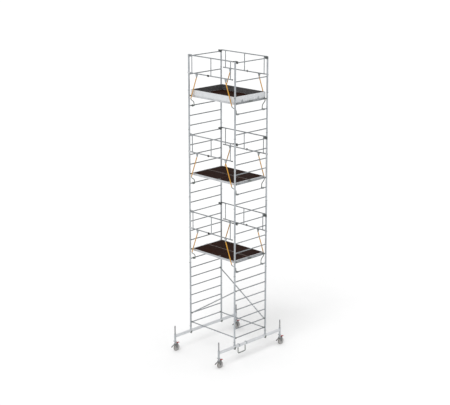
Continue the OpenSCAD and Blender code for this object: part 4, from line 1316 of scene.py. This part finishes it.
def topRailCap(level, mat):
    # the moulded cap on the end of the top rail, with the claw that lies over the end frame's rung
    top = topRails[level - 1]
    rung = rungHeight(tower["deckRungs"][level - 1] + tower["guardRungs"])
    inner = rungRadius + seatGap
    clawY = guardY - postY + postRadius + 0.004
    clawEnd = clawY + guard["clawWidth"]
    topEnd = endX - guard["topEnd"]
    left = topEnd + 0.001
    r, half = railRadius + 0.002, guard["capHalf"]
    profile = ((r, topEnd), (r, topEnd + 0.011), (r - 0.003, topEnd + guard["capLength"]))
    armEnd = (left + guard["capLength"] - 0.002, clawY + guard["clawWidth"] / 2, top + half)
    shells = [
        turnedShape(profile, (0, 0, top), "x", 32, mat=mat),
        block((left, 0, top - half), armEnd, 0.003, 0.0012, "y", mat=mat),
    ]
    low, high, right = -rungRadius - 0.006, top - rung + half, frameReach - endX
    back = left - endX
    corner = 0.006
    outline = np.concatenate([
        [(inner, low), (right, low)],
        arc((right - corner, high - corner), corner, 0, 90, 6),
        arc((back + corner, high - corner), corner, 90, 180, 6),
        [(back, low), (-inner, low)],
        arc((0, 0), inner, 180, 0, 16),
    ])
    claw = plate(outline, clawY, clawEnd, "y", bevel=0.0015, mat=mat)
    ribLow = (left + 0.020, clawY - 0.0001, top - 0.006)
    ribHigh = (endX + right - 0.020, clawEnd + 0.0001, top + 0.006)
    rib = block(ribLow, ribHigh, 0.002, 0.0008, "y", mat=mat)
    return shells + [moved(claw, (endX, 0, rung)), rib]


def postClaw(low, mat):
    # the moulded claw at the end of the low rail that grips the post
    inner = postRadius + seatGap
    outer = inner + 0.008
    offset = guardY - postY
    outline = np.concatenate([
        arc((0, 0), inner, 180, 360, 20)[::-1],
        arc((0, 0), outer, 180, 200, 4),
        [(-0.020, -offset - 0.008), (-0.016, -offset - 0.012)],
        [(guard["lowEnd"], -offset - 0.012), (guard["lowEnd"], -offset + 0.012)],
        arc((0, 0), outer, 330, 360, 6),
    ])
    half = guard["clawWidth"] / 2
    claw = plate(outline, low - half, low + half, "z", bevel=0.0012, mat=mat)
    return moved(claw, (-endX, offset, 0))


def knob(low):
    # the turning knob of the rail's lock: a fluted rim and a sunk face
    outline = ribbedCircle(guard["knobRadius"], 10, 0.0022, 6)
    back = railRadius - 0.004
    steps = (
        (0.9, back), (1, back + 0.001), (1, 0.029), (0.93, 0.032), (0.74, 0.032), (0.68, 0.0295),
        (0.3, 0.0295), (0.26, 0.0315),
    )
    sections = [size * outline for size, height in steps]
    return stack(sections, [height for size, height in steps], (-guard["knobX"], 0, low), "y")


def railPlug(low):
    lowEnd = endX - guard["lowEnd"]
    r = railRadius + 0.002
    profile = (
        (r - 0.0004, lowEnd - 0.006), (r, lowEnd - 0.005), (r, lowEnd + 0.010), (r - 0.005, lowEnd + 0.016)
    )
    return turnedShape(profile, (0, 0, low), "x", 32)


def guardFittings():
    # the top rail's caps are one moulding, dark grey, but the one at the left end of each front frame is pale
    # as painted light for its lit outer side; the low rail's claws take the same pale painted light
    shells = []
    for level in levels:
        low = topRails[level - 1] - tower["railGap"]
        same = topRailCap(level, mat=2) + [knob(low), railPlug(low), postClaw(low, mat=1)]
        for turn, capMat in ((0, 1), (180, 2)):
            own = same + [flipped(shell, (-1, 1, 1)) for shell in topRailCap(level, mat=capMat)]
            shells += [turnedBy(moved(shell, (0, -guardY, 0)), turn) for shell in own]
    materials = (blackPlastic, palePaintedLightPlastic, greyPlastic)
    makePiece("guard_rail_fittings", shells, materials, "tower", ("guard_fittings",))


# ---------- struts ----------

strut = {
    "radius": 0.014, "eyeRadius": 0.013, "flat": 0.055, "hook": 0.0195, "hookFoot": 0.072, "kneeIn": 0.100,
    "kneeRise": 0.230, "jawGap": 0.0012, "jaw": 0.007, "jawLength": 0.018, "jawBack": 0.026,
    "clawWidth": 0.030, "clawInset": 0.110,
}


def strutTube(tilt, length):
    # the round tube flattens towards its eye: the width grows and the depth shrinks with one smooth step
    steps = np.concatenate([np.linspace(-0.012, strut["flat"], 14), [length - 0.0015, length]])
    share = np.clip((steps - 0.008) / (strut["flat"] - 0.008), 0, 1)
    share = share * share * (3 - 2 * share)
    turn = circle(1, 28)
    deep = guard["eye"] / 2
    sections = []
    for s, part in zip(steps, share):
        wide = strut["eyeRadius"] + part * (strut["radius"] - strut["eyeRadius"])
        if s < 0:
            wide = sqrt(max(strut["eyeRadius"]**2 - s**2, 1e-6))
        thin = deep + part * (strut["radius"] - deep)
        square = 0.35 + 0.65 * part
        y = np.sign(turn[:, 1]) * np.abs(turn[:, 1])**square
        sections.append(np.stack([wide * turn[:, 0], -thin * y], axis=1))
    sections[-1] = sections[-1] * 0.93
    grid = np.stack([
        np.stack([s[:, 0], s[:, 1], np.full(len(s), -at)], axis=1) for s, at in zip(sections, steps)
    ])
    tube = gridShell(grid)
    return turnedBy(tube, -tilt, "y")


def strutShape(level):
    # one strut in the right back corner: tube, bent hook, and the claw on the rung below the platform
    rung = rungHeight(tower["deckRungs"][level - 1] - 1)
    pivotZ = topRails[level - 1] - tower["railGap"] - guard["pivotDrop"]
    knee = np.array([endX - strut["kneeIn"], rung + strut["kneeRise"]])
    run = knee - np.array([pivotX, pivotZ])
    tilt = np.degrees(atan2(run[0], -run[1]))
    mouth = np.degrees(atan2(endX - pivotX, pivotZ - rung))
    shells = [moved(strutTube(tilt, hypot(*run)), (pivotX, guardY, pivotZ))]
    along = run / hypot(*run)
    clawY = postY - postRadius - strut["clawInset"]
    # the hook's bar bends in an upright plane that turns inwards under the platform
    start = np.array([knee[0], guardY])
    inward = np.array([endX - strut["hookFoot"], clawY + strut["clawWidth"] / 2]) - start
    reach = np.linalg.norm(inward)
    inward /= reach
    rise = strut["kneeRise"]
    line = (
        (0, rise + 0.014), (0.004, rise - 0.016), (0.028, rise - 0.048), (reach - 0.068, rise - 0.080),
        (reach - 0.028, rise - 0.106), (reach - 0.006, rise - 0.140), (reach, rise - 0.176), (reach, 0),
    )
    points = np.array([(*(start + out * inward), rung + up) for out, up in line])
    section = box2d(strut["hook"], strut["hook"], 0.005, 5)
    side = np.array([-inward[1], inward[0], 0])
    shells.append(sweep(smoothPath(points, 6), section, side, mat=1))
    foot, clawEnd = endX - strut["hookFoot"], clawY + strut["clawWidth"]
    low, high = (foot - 0.012, clawY, rung - 0.011), (foot + 0.032, clawEnd, rung + 0.011)
    shells.append(block(low, high, 0.004, 0.0012, "y", mat=1))
    r, t = rungRadius + strut["jawGap"], strut["jaw"]
    corner = 0.008
    shift = strut["jawGap"] - seatGap
    back, front = -r - strut["jawBack"], strut["jawLength"]
    outline = np.concatenate([
        arc((back + corner, -r - t + corner), corner, 180, 270, 6),
        [(front - 0.003, -r - t), (front, -r - t + 0.003), (front, -r)],
        arc((shift, 0), r, 270, 90, 18),
        [(front, r), (front, r + t - 0.003), (front - 0.003, r + t)],
        arc((back + corner, r + t - corner), corner, 90, 180, 6),
    ])
    turned = radians(mouth)
    outline = outline @ np.array([[cos(turned), sin(turned)], [-sin(turned), cos(turned)]])
    claw = plate(outline, clawY, clawEnd, "y", bevel=0.0012, mat=1)
    shells.append(moved(claw, (endX, 0, rung)))
    # two rivets hold the hook in the tube, and the pivot's bolt fills the eye
    reach = strut["radius"] + 0.0008
    for back in (0.020, 0.038):
        x, z = knee - back * along
        shells.append(pin(0.0035, -reach, reach, (x, guardY, z), "y", 0.0006, 12, mat=1))
    half = guard["eye"] / 2
    return shells + [pin(0.0048, -half, half, (pivotX, guardY, pivotZ), "y", 0.0004, 14, mat=1)]


def struts():
    for level in levels:
        shape = strutShape(level)
        for corner, (sx, sy) in cornerSigns.items():
            node = f"strut_{level}_{corner}"
            shells = [flipped(shell, (sx, sy, 1)) for shell in shape]
            makePiece(f"{node}_arm", shells, (ochrePaint, clawSteel), node, (node,))


# ---------- castors ----------

castor = {
    "wheelRadius": 0.100, "wheelWidth": 0.050, "trail": 0.050, "reach": 0.150, "spindleRadius": 0.019,
    "lead": 0.012, "starts": 2, "threadDepth": 0.0018, "threadLength": 0.525, "nutRadius": 0.029,
    "nutHeight": 0.038,
    "crown": 0.214, "crownPlate": 0.007, "forkIn": 0.029, "forkWall": 0.004, "axle": 0.008,
    "pedalY": 0.078, "pedalZ": 0.234,
}


def threadedSpindle():
    # radius falls by the thread's depth as a clipped wave of height over lead minus turn over a full turn
    top = corners("castor_spindle_right_front")[1][2]
    stem = top - castor["threadLength"]
    turn = np.linspace(0, 2 * pi, 28, endpoint=False)[None, :]
    z = np.linspace(stem, top, 500)[:, None]
    phase = castor["starts"] * (z / castor["lead"] - turn / (2 * pi))
    wave = np.clip(0.5 - 1.1 * np.cos(2 * pi * phase), 0, 1)
    fade = np.clip((z - stem) / 0.010, 0, 1) * np.clip((top - z) / 0.012, 0, 1)
    wave = wave * np.minimum(fade * 1.6, 1)
    radius = castor["spindleRadius"] - castor["threadDepth"] * wave
    radius[-1] *= 0.90
    grid = np.stack([radius * np.cos(turn), radius * np.sin(turn), z + 0 * turn], axis=-1)
    shells = [gridShell(grid, groove=wave + 0 * turn)]
    crown = castor["crown"]
    head = (
        (0.030, crown + 0.008), (0.038, crown + 0.012), (0.038, stem - 0.008), (0.034, stem - 0.003),
        (0.021, stem + 0.0005),
    )
    bolt = ((0.0079, crown - 0.004), (0.0079, crown + 0.010))
    shells += [turnedShape(head, count=40, mat=1), turnedShape(bolt, count=24, mat=1)]
    return shells + [hexHead(0.013, 0, 0.0075, (0, 0, crown - 0.008), "z", mat=1)]


def wingNut():
    # a ring nut with a fluted rim and two cast lugs for turning it by hand
    r, h = castor["nutRadius"], castor["nutHeight"]
    low = corners("castor_nut_right_front")[0][2]
    outer = ribbedCircle(r, 14, 0.0016, 5)
    bore = circle(castor["spindleRadius"] + 0.0003, 70)
    sections = (0.95 * outer, outer, outer, 0.95 * outer, bore, bore)
    heights = (low, low + 0.0015, low + h - 0.0015, low + h, low + h, low)
    shells = [stack(sections, heights, loop=True)]
    for side in (0, 180):
        lug = block((0.0245, -0.009, low + 0.008), (0.050, 0.009, low + 0.030), 0.006, 0.0018, "y")
        shells.append(turnedBy(lug, side + 35, "z"))
    return shells


def castorFork():
    # pressed steel: crown, two legs, tail, ears for the pedal, ball race, axle with its bolt and nut
    wall, trail, axleZ = castor["forkWall"], castor["trail"], castor["wheelRadius"]
    inner, crown = castor["forkIn"], castor["crown"]
    y, z, back = castor["pedalY"], castor["pedalZ"], -castor["reach"]
    side, top = inner + wall, crown + castor["crownPlate"]
    shells = [block((-side, -0.036, crown), (side, y + 0.012, top), 0.006, 0.0012)]
    leg = np.array([
        (-0.030, crown), (trail - 0.022, axleZ), (trail - 0.016, axleZ - 0.013),
        (trail - 0.010, axleZ - 0.017), (trail + 0.010, axleZ - 0.017), (trail + 0.016, axleZ - 0.013),
        (trail + 0.020, axleZ - 0.005), (y + 0.010, crown),
    ])
    ear = np.array([
        (y - 0.014, top - 0.001), (y + 0.010, top - 0.001), (y + 0.008, z + 0.005), (y + 0.004, z + 0.008),
        (y - 0.004, z + 0.008), (y - 0.008, z + 0.005),
    ])
    rib = np.array([
        (trail - 0.004, axleZ + 0.022), (trail + 0.004, axleZ + 0.022), (0.036, crown - 0.012),
        (0.012, crown - 0.012),
    ])
    for x in (-side, inner):
        shells += [plate(outline, x, x + wall, "x", bevel=0.001) for outline in (leg, ear)]
    shells += bothEnds([plate(rib, side - 0.001, side + 0.0022, "x", bevel=0.001)])
    axle = (0, trail, axleZ)
    shells.append(pin(castor["axle"], -side, side, axle, "x", 0.001, 24))
    shells += bothEnds([hexHead(0.0128, side + 0.001, side + 0.007, axle, "x")])
    shells += bothEnds([pin(0.0128, side, side + 0.0015, axle, "x", 0.0003, 28)])
    shells.append(pin(0.004, -side, side, (0, y, z), "x", 0.0006, 16))
    tail = np.array([
        (-0.036, top - 0.001), (back + 0.004, crown - 0.050), (back, crown - 0.055), (back, crown - 0.066),
        (back + 0.016, crown - 0.066), (-0.060, crown - 0.020), (-0.030, crown),
    ])
    shells.append(plate(tail, -0.015, 0.015, "x", bevel=0.0012))
    race = (
        (0.029, top - 0.0005), (0.030, top + 0.0005), (0.029, top + 0.001), (0.0085, top + 0.001),
        (0.0085, top - 0.0005),
    )
    return shells + [turnedShape(race, count=36, loop=True)]


def castorWheel():
    # tyre and hub in one profile turned about the axle, with ribs in the recess on either side
    r, half = castor["wheelRadius"], castor["wheelWidth"] / 2
    hub, bore, floor = 0.0285, castor["axle"] + 0.0005, 0.016
    face = [
        (bore, hub), (0.0225, hub), (0.0248, hub - 0.0020), (0.0252, floor + 0.001), (0.0262, floor),
        (0.0755, floor), (0.0770, floor + 0.0015), (0.0775, half - 0.0015), (0.0790, half), (0.0900, half),
        (0.0950, half - 0.0012), (0.0985, half - 0.0045), (r, half - 0.0100),
    ]
    tread = [(r, 0.006), (r - 0.0006, 0.004), (r - 0.0006, -0.004), (r, -0.006)]
    profile = [(radius, -x) for radius, x in face] + tread[::-1] + face[::-1]
    dirt = np.array([max(0, (radius - 0.080) / 0.020)**2 for radius, x in profile])
    centre = (0, castor["trail"], r)
    groove = np.repeat(dirt[:, None], 72, axis=1)
    shells = [turnedShape(profile, centre, "x", 72, loop=True, groove=groove)]
    spoke = block((0.0152, -0.002, 0.0245), (0.0222, 0.002, 0.0765), 0.0012, 0.0008, "z")
    for number in range(8):
        turned = turnedBy(spoke, 45 * number, "x")
        shells += [moved(flipped(turned, (sign, 1, 1)), centre) for sign in (1, -1)]
    ring = ((0.0148, 0.0283), (0.0148, 0.0289), (0.009, 0.0289), (0.009, 0.0283))
    return shells + bothEnds([turnedShape(ring, centre, "x", 28, loop=True, mat=1)])


def brakePedal():
    # a rocker with a ribbed foot plate and a turned-down lip
    half = castor["forkIn"] - 0.001
    y, z, end = castor["pedalY"], castor["pedalZ"], castor["reach"] - 0.001
    outline = np.concatenate([
        arc((y, z), 0.010, 90, 270, 12),
        [(y + 0.008, z - 0.004), (y + 0.014, z + 0.002), (end - 0.008, z + 0.002), (end - 0.008, z - 0.003)],
        arc((end - 0.005, z - 0.003), 0.003, 180, 360, 8)[1:],
        arc((end - 0.005, z + 0.0035), 0.005, 0, 90, 6),
    ])
    outline[:, 1] = np.clip(outline[:, 1], z - 0.010, z + 0.010)
    shells = [plate(outline, -half, half, "x", bevel=0.0012)]
    for x in np.linspace(-half + 0.005, half - 0.005, 7):
        low, high = (x - 0.0015, y + 0.018, z + 0.0080), (x + 0.0015, end - 0.007, z + 0.0098)
        shells.append(block(low, high, 0.0014, 0.0006))
    return shells


def castors():
    parts = {
        "spindle": (threadedSpindle(), (spindleSteel, zincSteel), "spindle_steel"),
        "nut": (wingNut(), (zincSteel,), "galvanised_steel"),
        "fork": (castorFork(), (forkSteel,), "galvanised_steel"),
        "wheel": (castorWheel(), (wheelPlastic, zincSteel), "wheel_grey"),
        "pedal": (brakePedal(), (pedalPlastic,), "pedal_red"),
    }
    for part, (shells, materials, slot) in parts.items():
        for corner, (sx, sy) in cornerSigns.items():
            node = f"castor_{part}_{corner}"
            own = [moved(shell, (sx * endX, sy * castorY, 0)) for shell in shells]
            makePiece(f"{node}_body", own, materials, node, (node,))


for build in (
    ladderFrames, endGuards, springClips, spigotTubes, baseBeams, beamClamps, accessStep, braces, braceClaws,
    deckFrames, deckPanels, hatchLeaves, toeBoards, guardFrames, guardFittings, struts, castors,
):
    build()
    print("made:", build.__name__)

# ---------- studio ----------

studio = {
    "floorSize": 600.0, "floorRough": 0.9, "skyTop": 1.0, "skyLevel": 0.80, "sun": 1.6, "sunAngle": 35,
    "sunTilt": 38, "sunTurn": 20, "lens": 97.6, "sensor": 36.0, "farthest": 900,
    "eye": (23.5265, -23.591, 13.699), "lookDown": 15.572, "lookTurn": 45.06,
}


def paleFloor():
    half = studio["floorSize"] / 2
    mesh = bpy.data.meshes.new("floor")
    square = [(-half, -half, 0), (half, -half, 0), (half, half, 0), (-half, half, 0)]
    mesh.from_pydata(square, [], [(0, 1, 2, 3)])
    floor = bpy.data.objects.new("floor", mesh)
    bpy.context.scene.collection.objects.link(floor)
    material, tree, shader, spot = newMaterial("paleFloor", 0.0, Roughness=studio["floorRough"])
    speckle = patches(tree, spot, 0.6, 0.3, 0.7)
    base = mixColour(tree, speckle, colour(225, 225, 225), colour(227, 227, 227))
    tree.links.new(base, shader["Base Color"])
    mesh.materials.append(material)


def softSky():
    # white overhead and a little greyer towards the floor, so that the round tubes show their shape
    world = bpy.data.worlds.new("studio")
    bpy.context.scene.world = world
    world.use_nodes = True
    tree = world.node_tree
    direction = addNode(tree, "TexCoord").outputs["Generated"]
    height = addNode(tree, "SeparateXYZ", {0: direction}).outputs["Z"]
    share = rangeNode(tree, height, 0.0, 0.6, studio["skyLevel"], studio["skyTop"])
    grey = addNode(tree, "CombineColor", {0: share, 1: share, 2: share}).outputs[0]
    backdrop = tree.nodes["Background"]
    tree.links.new(grey, backdrop.inputs["Color"])
    backdrop.inputs["Strength"].default_value = 1.0


def softSun():
    light = bpy.data.lights.new("sun", "SUN")
    light.energy, light.angle = studio["sun"], radians(studio["sunAngle"])
    lamp = bpy.data.objects.new("sun", light)
    lamp.rotation_euler = (radians(studio["sunTilt"]), 0, radians(studio["sunTurn"]))
    bpy.context.scene.collection.objects.link(lamp)


def placeCamera():
    camera = bpy.data.cameras.new("camera")
    camera.lens, camera.sensor_width = studio["lens"], studio["sensor"]
    camera.clip_end = studio["farthest"]
    eye = bpy.data.objects.new("camera", camera)
    eye.location = studio["eye"]
    eye.rotation_euler = (radians(90 - studio["lookDown"]), 0, radians(studio["lookTurn"]))
    bpy.context.scene.collection.objects.link(eye)
    bpy.context.scene.camera = eye


paleFloor()
softSky()
softSun()
placeCamera()
bpy.context.scene.view_settings.view_transform = "Standard"
print("studio ready")
